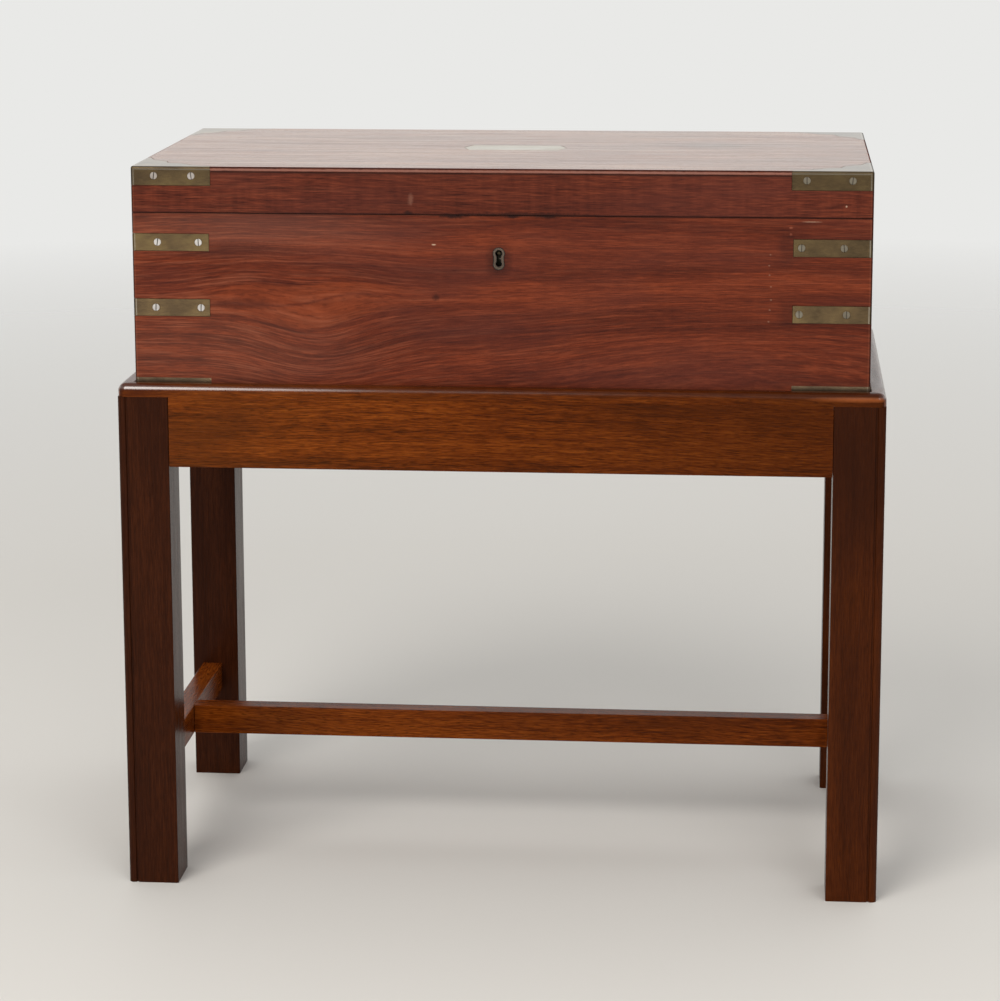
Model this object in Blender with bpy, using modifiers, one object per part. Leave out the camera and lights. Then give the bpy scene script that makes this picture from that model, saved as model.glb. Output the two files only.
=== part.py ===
# Brass-bound lap desk on its stand. The box is sawn on the slant, so its lid and
# case open into one writing slope. Front towards -Y, origin on the floor.
import math

import bmesh
import bpy
from mathutils import Matrix, Vector

MM = 0.001

# Box
BOX_WIDTH = 508 * MM
BOX_DEPTH = 270 * MM
BOX_HEIGHT = 159 * MM
LID_FRONT = 31.8 * MM
LID_BACK = 79.5 * MM
WALL = 9.5 * MM
BOTTOM = 7 * MM
TOP = 8 * MM
TOP_LIP = 3.2 * MM

# Clearances between fixed pieces, across the saw cut and round sliding pieces
FIT = 0.3 * MM
SAW_GAP = 0.5 * MM
RUN = 0.5 * MM
OVERCUT = 1 * MM

# Stand
SEAT_HEIGHT = 352.7 * MM
STAND_MARGIN = 11 * MM
BOX_PLAY = 0.6 * MM
LEG = 35.5 * MM
LEG_BEAD = 5.6 * MM
LEG_QUIRK = 1.3 * MM
LEG_ARRIS = 2 * MM
APRON_HEIGHT = 49.2 * MM
APRON_THICK = 20 * MM
RIM_HEIGHT = 8.7 * MM
RIM_NOSING = 5 * MM
RIM_CORNER = 6 * MM
STRETCHER_BOTTOM = 69.5 * MM
STRETCHER_HEIGHT = 21.5 * MM
STRETCHER_THICK = 15 * MM
STRETCHER_INSET = 15 * MM
TENON_LENGTH = 17 * MM
TENON_THICK = 8 * MM
TENON_SHOULDER = 5 * MM
CROSS_TENON = 9 * MM

# Brass angles let in flush round the corners
BRASS = 1.4 * MM
STRAP_ARM = 53.5 * MM
STRAP_HEIGHT = 11.8 * MM
UPPER_STRAP = 100.7 * MM
LOWER_STRAP = 55.2 * MM
CORNER_ARM = 55.2 * MM
CORNER_DROP = 13 * MM
CORNER_TIP = 3.5 * MM
CORNER_LOBE = 19 * MM
CORNER_LOBE_REACH = 33 * MM
CORNER_WAIST = 22 * MM
CORNER_NECK = 8 * MM
CORNER_NECK_REACH = 42 * MM
NAME_PLATE_LENGTH = 74 * MM
NAME_PLATE_SIDE = 64 * MM
NAME_PLATE_WIDTH = 34 * MM
NAME_PLATE_BACK = 4 * MM

# Hinges
HINGE_SPREAD = 150 * MM
HINGE_LENGTH = 45 * MM
HINGE_AXIS_OUT = 1.2 * MM
LEAF_REACH = 8.6 * MM
LEAF_THICK = 1.3 * MM
KNUCKLE_RADIUS = 2.6 * MM
PIN_RADIUS = 1.1 * MM
KNUCKLES = 3

# Lock, with its bolt, link plate and keyhole. The bolt's fingers are as long as its travel.
LOCK_WIDTH = 60 * MM
LOCK_HEIGHT = 43 * MM
LOCK_THICK = 8.8 * MM
LOCK_SKIN = 2.5 * MM
LOCK_PLATE = 1 * MM
BOLT_TRAVEL = 5 * MM
BOLT_THICK = 1.8 * MM
BOLT_BAR = 3.5 * MM
BOLT_FINGER = 2.6 * MM
BOLT_POST = 3 * MM
STAPLE_SPREAD = 14 * MM
STAPLE_WIDTH = 4 * MM
STAPLE_DEPTH = 8 * MM
STAPLE_CHEEK = 0.8 * MM
LINK_PLATE_WIDTH = 6.4 * MM
LINK_PLATE_THICK = 1.3 * MM
KEYHOLE_DROP = 26.3 * MM
KEYHOLE_RADIUS = 2.4 * MM
KEYHOLE_SLOT = 9.2 * MM
KEYHOLE_SLOT_TOP = 1.55 * MM
KEYHOLE_SLOT_FOOT = 2.2 * MM
KEYHOLE_FLARE = 5.5 * MM
WARD_DROP = 3.4 * MM
WARD_ROOT = 1.3 * MM
WARD_EDGE = 0.7 * MM
WARD_TIP = 0.5 * MM
KEY_PIN_RADIUS = 1 * MM
KEY_PIN_SUNK = 2 * MM
ESCUTCHEON_RADIUS = 4.05 * MM
ESCUTCHEON_LENGTH = 11.3 * MM
ESCUTCHEON_WAIST = 3.55 * MM
ESCUTCHEON_FOOT = 3.9 * MM

# Writing flaps and the pen section
FLAP = 6 * MM
FLAP_SUNK = 1 * MM
FLAP_REBATE = 3 * MM
FLAP_PLAY = 1 * MM
PEN_SECTION = 57.5 * MM
DIVIDER = 6 * MM
SHELF_HEIGHT = 45 * MM
SHELF = 5 * MM
WELL = 50 * MM
PARTITION = 5 * MM
PARTITION_STEP = 6 * MM
PARTITION_SUNK = 4 * MM
TRAY_HEIGHT = 24 * MM
TRAY_SUNK = 5 * MM
TRAY_PLAY = 1 * MM
TRAY_END = 12 * MM
TRAY_GROOVE = 10.5 * MM
TRAY_RIB = 3 * MM
INKWELL = 46 * MM
INKWELL_BODY = 33 * MM
INKWELL_EDGE = 3 * MM
INKWELL_NECK = 8 * MM
INKWELL_NECK_RADIUS = 12 * MM
INKWELL_BORE = 9 * MM
INKWELL_FLOOR = 6 * MM
CAP_WALL = 1.6 * MM

# Facets of round shapes
ROUND_SIDES = 20
ARC_STEPS = 14
NOSING_STEPS = 5
EDGE_STEPS = 2
ROUND_PROFILE = 0.5
SMOOTH_ANGLE = math.radians(40)

# Colours as seen (sRGB), roughness and metallic value of each finish
FINISHES = {
    "mahogany": ((0.42, 0.20, 0.14), 0.35, 0.0),
    "lining": ((0.36, 0.17, 0.11), 0.5, 0.0),
    "apron": ((0.44, 0.24, 0.09), 0.3, 0.0),
    "leg": ((0.23, 0.12, 0.08), 0.3, 0.0),
    "brass": ((0.50, 0.44, 0.29), 0.4, 1.0),
    "steel": ((0.45, 0.44, 0.42), 0.4, 1.0),
    "leather": ((0.10, 0.20, 0.14), 0.6, 0.0),
    "glass": ((0.82, 0.88, 0.86), 0.1, 0.0),
}

# Heights, half sizes and the saw plane that follow from the sizes above
BOX_BASE = SEAT_HEIGHT + FIT
BOX_TOP = BOX_BASE + BOX_HEIGHT
HALF_WIDTH = BOX_WIDTH / 2
HALF_DEPTH = BOX_DEPTH / 2
STAND_HALF = (HALF_WIDTH + STAND_MARGIN, HALF_DEPTH + STAND_MARGIN)
INNER_X = HALF_WIDTH - WALL
INNER_Y = HALF_DEPTH - WALL
SLOPE_RISE = (LID_BACK - LID_FRONT) / BOX_DEPTH
SLOPE = math.atan(SLOPE_RISE)
HINGE_Y = HALF_DEPTH + HINGE_AXIS_OUT
SHELF_TOP = BOX_BASE + BOTTOM + SHELF_HEIGHT
DIVIDER_Y = -INNER_Y + PEN_SECTION

SIDES = {
    "front": (Vector((0, -1, 0)), Vector((1, 0, 0))),
    "back": (Vector((0, 1, 0)), Vector((1, 0, 0))),
    "left": (Vector((-1, 0, 0)), Vector((0, 1, 0))),
    "right": (Vector((1, 0, 0)), Vector((0, 1, 0))),
}
ENDS = (("left", -1), ("right", 1))
DEPTHS = (("front", -1), ("back", 1))


def split_height(y):
    return BOX_TOP - LID_BACK + (HALF_DEPTH - y) * SLOPE_RISE


# Place along the saw cut, counted from the hinge axis
def slope_y(y):
    return (y - HINGE_Y) / math.cos(SLOPE)


HINGE_AXIS = Vector((0, HINGE_Y, split_height(HINGE_Y)))
SPLIT_UP = Vector((0, math.sin(SLOPE), math.cos(SLOPE)))
# Local Y runs down the slope to the hinge and local Z stands square to the saw cut
SLOPE_FRAME = Matrix.Translation(HINGE_AXIS) @ Matrix.Rotation(-SLOPE, 4, "X")
UPRIGHT = Matrix.Rotation(math.pi / 2, 4, "X")

for old in list(bpy.data.objects):
    bpy.data.objects.remove(old, do_unlink=True)

parts = bpy.data.collections.new("lap_desk")
tools = bpy.data.collections.new("cutters")
for collection in (parts, tools):
    bpy.context.scene.collection.children.link(collection)


# Making and cutting

def linear(value):
    return value / 12.92 if value <= 0.04045 else ((value + 0.055) / 1.055) ** 2.4


def add_object(name, mesh, finish):
    obj = bpy.data.objects.new(name, mesh)
    if finish is None:
        tools.objects.link(obj)
        obj.hide_render = True
        obj.display_type = "WIRE"
        return obj
    parts.objects.link(obj)
    colour, roughness, metallic = FINISHES[finish]
    surface = bpy.data.materials.new(name)
    surface.use_nodes = True
    shader = surface.node_tree.nodes["Principled BSDF"]
    shader.inputs["Base Color"].default_value = (*(linear(c) for c in colour), 1)
    shader.inputs["Roughness"].default_value = roughness
    shader.inputs["Metallic"].default_value = metallic
    surface.diffuse_color = shader.inputs["Base Color"].default_value
    mesh.materials.append(surface)
    return obj


def finish_mesh(name, bm):
    bmesh.ops.recalc_face_normals(bm, faces=bm.faces)
    mesh = bpy.data.meshes.new(name)
    bm.to_mesh(mesh)
    bm.free()
    return mesh


def block(name, low, high, finish=None, frame=Matrix()):
    low, high = Vector(low), Vector(high)
    bm = bmesh.new()
    bmesh.ops.create_cube(bm, size=1)
    bmesh.ops.scale(bm, vec=high - low, verts=bm.verts)
    obj = add_object(name, finish_mesh(name, bm), finish)
    obj.matrix_basis = frame @ Matrix.Translation((low + high) / 2)
    return obj


def rod(name, centre, radius, length, axis, finish=None, frame=Matrix()):
    bm = bmesh.new()
    bmesh.ops.create_cone(
        bm, cap_ends=True, segments=ROUND_SIDES, radius1=radius, radius2=radius, depth=length
    )
    turn = Vector((0, 0, 1)).rotation_difference(Vector(axis)).to_matrix().to_4x4()
    obj = add_object(name, finish_mesh(name, bm), finish)
    obj.matrix_basis = frame @ Matrix.Translation(Vector(centre)) @ turn
    obj.data.shade_smooth()
    obj.data.set_sharp_from_angle(angle=SMOOTH_ANGLE)
    return obj


# A flat outline made solid. Its points are in the plane of the frame's X and Y.
def outline_solid(name, points, low, high, finish=None, frame=Matrix()):
    curve = bpy.data.curves.new(name, "CURVE")
    curve.dimensions = "2D"
    curve.fill_mode = "BOTH"
    curve.extrude = (high - low) / 2
    spline = curve.splines.new("POLY")
    spline.points.add(len(points) - 1)
    for place, (x, y) in zip(spline.points, points):
        place.co = (x, y, 0, 1)
    spline.use_cyclic_u = True
    flat = bpy.data.objects.new(name + "_outline", curve)
    tools.objects.link(flat)
    bpy.context.view_layer.update()
    mesh = bpy.data.meshes.new_from_object(flat.evaluated_get(bpy.context.evaluated_depsgraph_get()))
    bpy.data.objects.remove(flat, do_unlink=True)
    bm = bmesh.new()
    bm.from_mesh(mesh)
    bpy.data.meshes.remove(mesh)
    bmesh.ops.remove_doubles(bm, verts=bm.verts, dist=FIT / 10)
    obj = add_object(name, finish_mesh(name, bm), finish)
    obj.matrix_basis = frame @ Matrix.Translation((0, 0, (low + high) / 2))
    return obj


def saw(obj, point, normal):
    to_local = obj.matrix_basis.inverted()
    bm = bmesh.new()
    bm.from_mesh(obj.data)
    bmesh.ops.bisect_plane(
        bm,
        geom=bm.verts[:] + bm.edges[:] + bm.faces[:],
        plane_co=to_local @ Vector(point),
        plane_no=to_local.to_3x3() @ Vector(normal),
        clear_outer=True,
    )
    bmesh.ops.holes_fill(bm, edges=[edge for edge in bm.edges if edge.is_boundary])
    bmesh.ops.recalc_face_normals(bm, faces=bm.faces)
    bm.to_mesh(obj.data)
    bm.free()


def saw_slope(obj, offset, keep_below):
    normal = SPLIT_UP if keep_below else -SPLIT_UP
    saw(obj, HINGE_AXIS + SPLIT_UP * offset, normal)


def combine(obj, operation, others):
    for other in others:
        modifier = obj.modifiers.new(other.name, "BOOLEAN")
        modifier.operation = operation
        modifier.object = other


def cut(obj, *cutters):
    combine(obj, "DIFFERENCE", cutters)


def join(obj, *additions):
    combine(obj, "UNION", additions)


# One side of a mitred frame whose outer half width and half depth are given
def mitred(name, side, half, thick, low, high, finish, nosing=0, corner=0):
    out, along = SIDES[side]
    half = Vector((*half, 0))
    face = abs(half.dot(out))
    reach = abs(half.dot(along))
    first = out * face - along * reach
    last = out * (face - thick) + along * reach
    obj = block(
        name,
        (min(first.x, last.x), min(first.y, last.y), low),
        (max(first.x, last.x), max(first.y, last.y), high),
        finish,
    )
    if nosing:
        bm = bmesh.new()
        bm.from_mesh(obj.data)
        edges = [e for e in bm.edges if all(v.co.z > 0 and v.co.dot(out) > 0 for v in e.verts)]
        bmesh.ops.bevel(
            bm, geom=edges, offset=nosing, segments=NOSING_STEPS, profile=ROUND_PROFILE, affect="EDGES"
        )
        bm.to_mesh(obj.data)
        bm.free()
    for end in (-1, 1):
        tip = out * face + along * reach * end
        normal = (along * end - out).normalized()
        saw(obj, tip - normal * FIT / 2, normal)
        if corner:
            diagonal = (along * end + out).normalized()
            saw(obj, tip - diagonal * corner * (math.sqrt(2) - 1), diagonal)
    return obj


# Stand: four legs, aprons tenoned between them, a rim on top and an H of stretchers

def leg(depth_name, end_name, sy, sx):
    quirk_far = LEG_BEAD + LEG_QUIRK
    outline = [
        (LEG_ARRIS, 0), (LEG_BEAD, 0), (LEG_BEAD, LEG_QUIRK), (quirk_far, LEG_QUIRK), (quirk_far, 0),
        (LEG, 0), (LEG, LEG), (0, LEG),
        (0, quirk_far), (LEG_QUIRK, quirk_far), (LEG_QUIRK, LEG_BEAD), (0, LEG_BEAD), (0, LEG_ARRIS),
    ]
    points = [(sx * (STAND_HALF[0] - x), sy * (STAND_HALF[1] - y)) for x, y in outline]
    return outline_solid(f"leg_{depth_name}_{end_name}", points, 0, SEAT_HEIGHT, "leg")


# A rail along X or Y with a tenon at each end. Its middle line is given by two points.
def rail(name, start, finish_point, thick, low, high, tenon, finish):
    start, finish_point = Vector((*start, 0)), Vector((*finish_point, 0))
    along = (finish_point - start).normalized()
    across = Vector((abs(along.y), abs(along.x), 0))
    gap = along * FIT
    body = block(
        name,
        start + gap - across * thick / 2 + Vector((0, 0, low)),
        finish_point - gap + across * thick / 2 + Vector((0, 0, high)),
        finish,
    )
    tongue_low, tongue_high = low + TENON_SHOULDER, high - TENON_SHOULDER
    mortises = []
    for inside, outside in ((start, -along), (finish_point, along)):
        near, far = inside - outside * FIT * 2, inside + outside * tenon
        for grow, made in ((0, []), (FIT, mortises)):
            side = across * (TENON_THICK / 2 + grow)
            ends = (near - side, far + side + outside * grow, near + side, far - side + outside * grow)
            low_corner = (min(e.x for e in ends), min(e.y for e in ends), tongue_low - grow)
            high_corner = (max(e.x for e in ends), max(e.y for e in ends), tongue_high + grow)
            piece = block(f"{name}_tenon", low_corner, high_corner)
            made.append(piece)
            if not grow:
                join(body, piece)
    return body, mortises


def make_stand():
    sx, sy = STAND_HALF
    legs = {}
    for depth_name, depth_sign in DEPTHS:
        for end_name, end_sign in ENDS:
            legs[depth_name, end_name] = leg(depth_name, end_name, depth_sign, end_sign)
    pieces = list(legs.values())
    apron_low, apron_high = SEAT_HEIGHT - APRON_HEIGHT, SEAT_HEIGHT
    for depth_name, sign in DEPTHS:
        y = sign * (sy - APRON_THICK / 2)
        apron, mortises = rail(
            f"apron_{depth_name}", (-sx + LEG, y), (sx - LEG, y),
            APRON_THICK, apron_low, apron_high, TENON_LENGTH, "apron",
        )
        pieces.append(apron)
        for (end_name, _), mortise in zip(ENDS, mortises):
            cut(legs[depth_name, end_name], mortise)
    stretcher_high = STRETCHER_BOTTOM + STRETCHER_HEIGHT
    stretcher_x = sx - STRETCHER_INSET
    sides = {}
    for end_name, sign in ENDS:
        for kind, x, thick, low, high, finish in (
            ("apron", sx - APRON_THICK / 2, APRON_THICK, apron_low, apron_high, "apron"),
            ("stretcher", stretcher_x, STRETCHER_THICK, STRETCHER_BOTTOM, stretcher_high, "leg"),
        ):
            side_rail, mortises = rail(
                f"{kind}_{end_name}", (sign * x, -sy + LEG), (sign * x, sy - LEG),
                thick, low, high, TENON_LENGTH, finish,
            )
            sides[kind, end_name] = side_rail
            for (depth_name, _), mortise in zip(DEPTHS, mortises):
                cut(legs[depth_name, end_name], mortise)
    cross_x = stretcher_x - STRETCHER_THICK / 2
    cross, mortises = rail(
        "stretcher_cross", (-cross_x, 0), (cross_x, 0),
        STRETCHER_THICK, STRETCHER_BOTTOM, stretcher_high, CROSS_TENON, "apron",
    )
    for (end_name, _), mortise in zip(ENDS, mortises):
        cut(sides["stretcher", end_name], mortise)
    pieces += [*sides.values(), cross]
    for side in SIDES:
        pieces.append(mitred(
            f"rim_{side}", side, STAND_HALF, STAND_MARGIN - BOX_PLAY,
            BOX_BASE, BOX_BASE + RIM_HEIGHT, "apron", RIM_NOSING, RIM_CORNER,
        ))
    return pieces


# Carcass: walls mitred as one box, then sawn apart on the slant

def make_carcass():
    case, lid = {}, {}
    wall_top = BOX_TOP - TOP_LIP - FIT
    for side in SIDES:
        case[side] = mitred(
            f"case_{side}", side, (HALF_WIDTH, HALF_DEPTH), WALL, BOX_BASE, wall_top, "mahogany"
        )
        saw_slope(case[side], -SAW_GAP / 2, True)
        lid[side] = mitred(
            f"lid_{side}", side, (HALF_WIDTH, HALF_DEPTH), WALL, BOX_BASE, wall_top, "mahogany"
        )
        saw_slope(lid[side], SAW_GAP / 2, False)
    inner = (INNER_X - FIT, INNER_Y - FIT)
    case["bottom"] = block(
        "case_bottom", (-inner[0], -inner[1], BOX_BASE), (*inner, BOX_BASE + BOTTOM), "lining"
    )
    lid["top"] = block(
        "lid_top", (-HALF_WIDTH, -HALF_DEPTH, BOX_TOP - TOP_LIP),
        (HALF_WIDTH, HALF_DEPTH, BOX_TOP), "mahogany",
    )
    join(lid["top"], block(
        "top_tongue", (-inner[0], -inner[1], BOX_TOP - TOP), (*inner, BOX_TOP - TOP_LIP / 2)
    ))
    return case, lid


# Brass: straps round the upright corners and three-way pieces on the lid

def corner_points(outline, sx, sy):
    return [(sx * (HALF_WIDTH - x), sy * (HALF_DEPTH - y)) for x, y in outline]


def strap_outline(sx, sy, arm):
    outline = [(0, 0), (arm, 0), (arm, BRASS), (BRASS, BRASS), (BRASS, arm), (0, arm)]
    return corner_points(outline, sx, sy)


def arm_pocket(name, sx, sy, along_x, arm, low, high):
    long_side, short_side = arm + FIT, BRASS + FIT
    reach = (long_side, short_side) if along_x else (short_side, long_side)
    xs = sorted((sx * (HALF_WIDTH + OVERCUT), sx * (HALF_WIDTH - reach[0])))
    ys = sorted((sy * (HALF_DEPTH + OVERCUT), sy * (HALF_DEPTH - reach[1])))
    return block(name, (xs[0], ys[0], low - FIT), (xs[1], ys[1], high + FIT))


def strap(kind, depth_name, end_name, sy, sx, height, walls):
    name = f"{kind}_{depth_name}_{end_name}"
    low = BOX_BASE + height
    high = low + STRAP_HEIGHT
    piece = outline_solid(name, strap_outline(sx, sy, STRAP_ARM), low, high, "brass")
    cut(walls[depth_name], arm_pocket(name + "_pocket", sx, sy, True, STRAP_ARM, low, high))
    cut(walls[end_name], arm_pocket(name + "_side_pocket", sx, sy, False, STRAP_ARM, low, high))
    return piece


def corner_outline(grow=0):
    half = [
        (CORNER_ARM, CORNER_TIP), (CORNER_NECK_REACH, CORNER_NECK),
        (CORNER_LOBE_REACH, CORNER_LOBE),
    ]
    half = [(x + grow, y + grow) for x, y in half]
    waist = [(CORNER_WAIST + grow, CORNER_WAIST + grow)]
    proud = OVERCUT if grow else 0
    start = [(-proud, -proud), (CORNER_ARM + grow, -proud)]
    return start + half + waist + [(y, x) for x, y in reversed(half)] + [(-proud, CORNER_ARM + grow)]


def lid_corner(depth_name, end_name, sy, sx, lid):
    name = f"lid_corner_{depth_name}_{end_name}"
    low = BOX_TOP - CORNER_DROP
    plate = corner_points(corner_outline(), sx, sy)
    piece = outline_solid(name, plate, BOX_TOP - BRASS, BOX_TOP, "brass")
    band = outline_solid(name + "_band", strap_outline(sx, sy, CORNER_ARM), low, BOX_TOP - BRASS / 2)
    join(piece, band)
    plate_pocket = outline_solid(
        name + "_pocket", corner_points(corner_outline(FIT), sx, sy),
        BOX_TOP - BRASS - FIT, BOX_TOP + OVERCUT,
    )
    arm = arm_pocket(name + "_arm", sx, sy, True, CORNER_ARM, low, BOX_TOP + OVERCUT)
    side_arm = arm_pocket(name + "_side_arm", sx, sy, False, CORNER_ARM, low, BOX_TOP + OVERCUT)
    cut(lid["top"], plate_pocket, arm, side_arm)
    cut(lid[depth_name], arm)
    cut(lid[end_name], side_arm)
    return piece


def make_brass(case, lid):
    on_case, on_lid = [], []
    for depth_name, sy in DEPTHS:
        for end_name, sx in ENDS:
            on_lid.append(lid_corner(depth_name, end_name, sy, sx, lid))
            holder, carried = (case, on_case) if depth_name == "front" else (lid, on_lid)
            for kind, height, walls, group in (
                ("lower_strap", LOWER_STRAP, case, on_case),
                ("upper_strap", UPPER_STRAP, holder, carried),
            ):
                group.append(strap(kind, depth_name, end_name, sy, sx, height, walls))
    tip, corner, side = NAME_PLATE_LENGTH / 2, NAME_PLATE_SIDE / 2, NAME_PLATE_WIDTH / 2
    for name, grow, finish in (("name_plate", 0, "brass"), ("name_plate_pocket", FIT, None)):
        points = [
            (tip + grow, 0), (corner + grow, side + grow), (-corner - grow, side + grow),
            (-tip - grow, 0), (-corner - grow, -side - grow), (corner + grow, -side - grow),
        ]
        plate = outline_solid(
            name, [(x, y + NAME_PLATE_BACK) for x, y in points],
            BOX_TOP - BRASS - grow, BOX_TOP + (OVERCUT if grow else 0), finish,
        )
        if finish:
            on_lid.append(plate)
        else:
            cut(lid["top"], plate)
    return on_case, on_lid


# Butt hinges: the knuckles lie on the axis and the leaves in the saw cut

def hinge_leaf(name, x, up, knuckle_numbers):
    low = SAW_GAP / 2 * up
    high = low + LEAF_THICK * up
    inner = KNUCKLE_RADIUS + RUN
    half = HINGE_LENGTH / 2
    leaf = block(
        name, (x - half, -LEAF_REACH, min(low, high)), (x + half, -inner, max(low, high)),
        "brass", SLOPE_FRAME,
    )
    step = HINGE_LENGTH / KNUCKLES
    for number in knuckle_numbers:
        start = x - half + number * step
        middle = start + step / 2
        join(
            leaf,
            block(
                name + "_web", (start + RUN / 2, -inner - FIT, min(low, high)),
                (start + step - RUN / 2, 0, max(low, high)), None, SLOPE_FRAME,
            ),
            rod(
                name + "_knuckle", (middle, 0, 0), KNUCKLE_RADIUS, step - RUN,
                (1, 0, 0), None, SLOPE_FRAME,
            ),
        )
    cut(leaf, rod(
        name + "_bore", (x, 0, 0), PIN_RADIUS + FIT, HINGE_LENGTH + OVERCUT, (1, 0, 0), None, SLOPE_FRAME
    ))
    return leaf


def make_hinges(case, lid):
    on_case, on_lid = [], []
    for end_name, sign in ENDS:
        x = sign * HINGE_SPREAD
        half = HINGE_LENGTH / 2 + FIT
        deep = SAW_GAP / 2 + LEAF_THICK + FIT
        for wall in (case["back"], lid["back"]):
            cut(
                wall,
                block(
                    f"hinge_{end_name}_pocket", (x - half, -LEAF_REACH - FIT, -deep),
                    (x + half, OVERCUT, deep), None, SLOPE_FRAME,
                ),
                rod(
                    f"hinge_{end_name}_hollow", (x, 0, 0), KNUCKLE_RADIUS + RUN, 2 * half,
                    (1, 0, 0), None, SLOPE_FRAME,
                ),
            )
        on_case.append(hinge_leaf(f"hinge_{end_name}_case_leaf", x, -1, range(0, KNUCKLES, 2)))
        on_lid.append(hinge_leaf(f"hinge_{end_name}_lid_leaf", x, 1, range(1, KNUCKLES, 2)))
        on_case.append(rod(
            f"hinge_{end_name}_pin", (x, 0, 0), PIN_RADIUS, HINGE_LENGTH, (1, 0, 0), "steel", SLOPE_FRAME
        ))
    return on_case, on_lid


# Lock: a case let into the front wall, a sliding bolt and the lid's link plate

def arc(radius, start, end):
    turns = (math.radians(start + (end - start) * step / ARC_STEPS) for step in range(ARC_STEPS + 1))
    return [(radius * math.cos(turn), radius * math.sin(turn)) for turn in turns]


def round_foot(radius, bottom):
    return [(x, y + bottom + radius) for x, y in arc(radius, 180, 360)]


def keyhole_outline(ward=False):
    side = KEYHOLE_SLOT_TOP
    meet = -math.degrees(math.acos(side / KEYHOLE_RADIUS))
    foot = round_foot(KEYHOLE_SLOT_FOOT, -KEYHOLE_SLOT)
    outline = arc(KEYHOLE_RADIUS, meet, 180 - meet) + [(-side, -KEYHOLE_FLARE)] + foot + [(side, -KEYHOLE_FLARE)]
    if ward:
        outline += [
            (side, -WARD_DROP - WARD_ROOT / 2), (WARD_TIP, -WARD_DROP - WARD_EDGE / 2),
            (WARD_TIP, -WARD_DROP + WARD_EDGE / 2), (side, -WARD_DROP + WARD_ROOT / 2),
        ]
    return outline


def escutcheon_outline(grow=0):
    radius = ESCUTCHEON_RADIUS + grow
    side = ESCUTCHEON_WAIST + grow
    waist = -math.degrees(math.acos(side / radius))
    foot = round_foot(ESCUTCHEON_FOOT + grow, -ESCUTCHEON_LENGTH - grow)
    return arc(radius, waist, 180 - waist) + [(-side, -KEYHOLE_FLARE)] + foot + [(side, -KEYHOLE_FLARE)]


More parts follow.
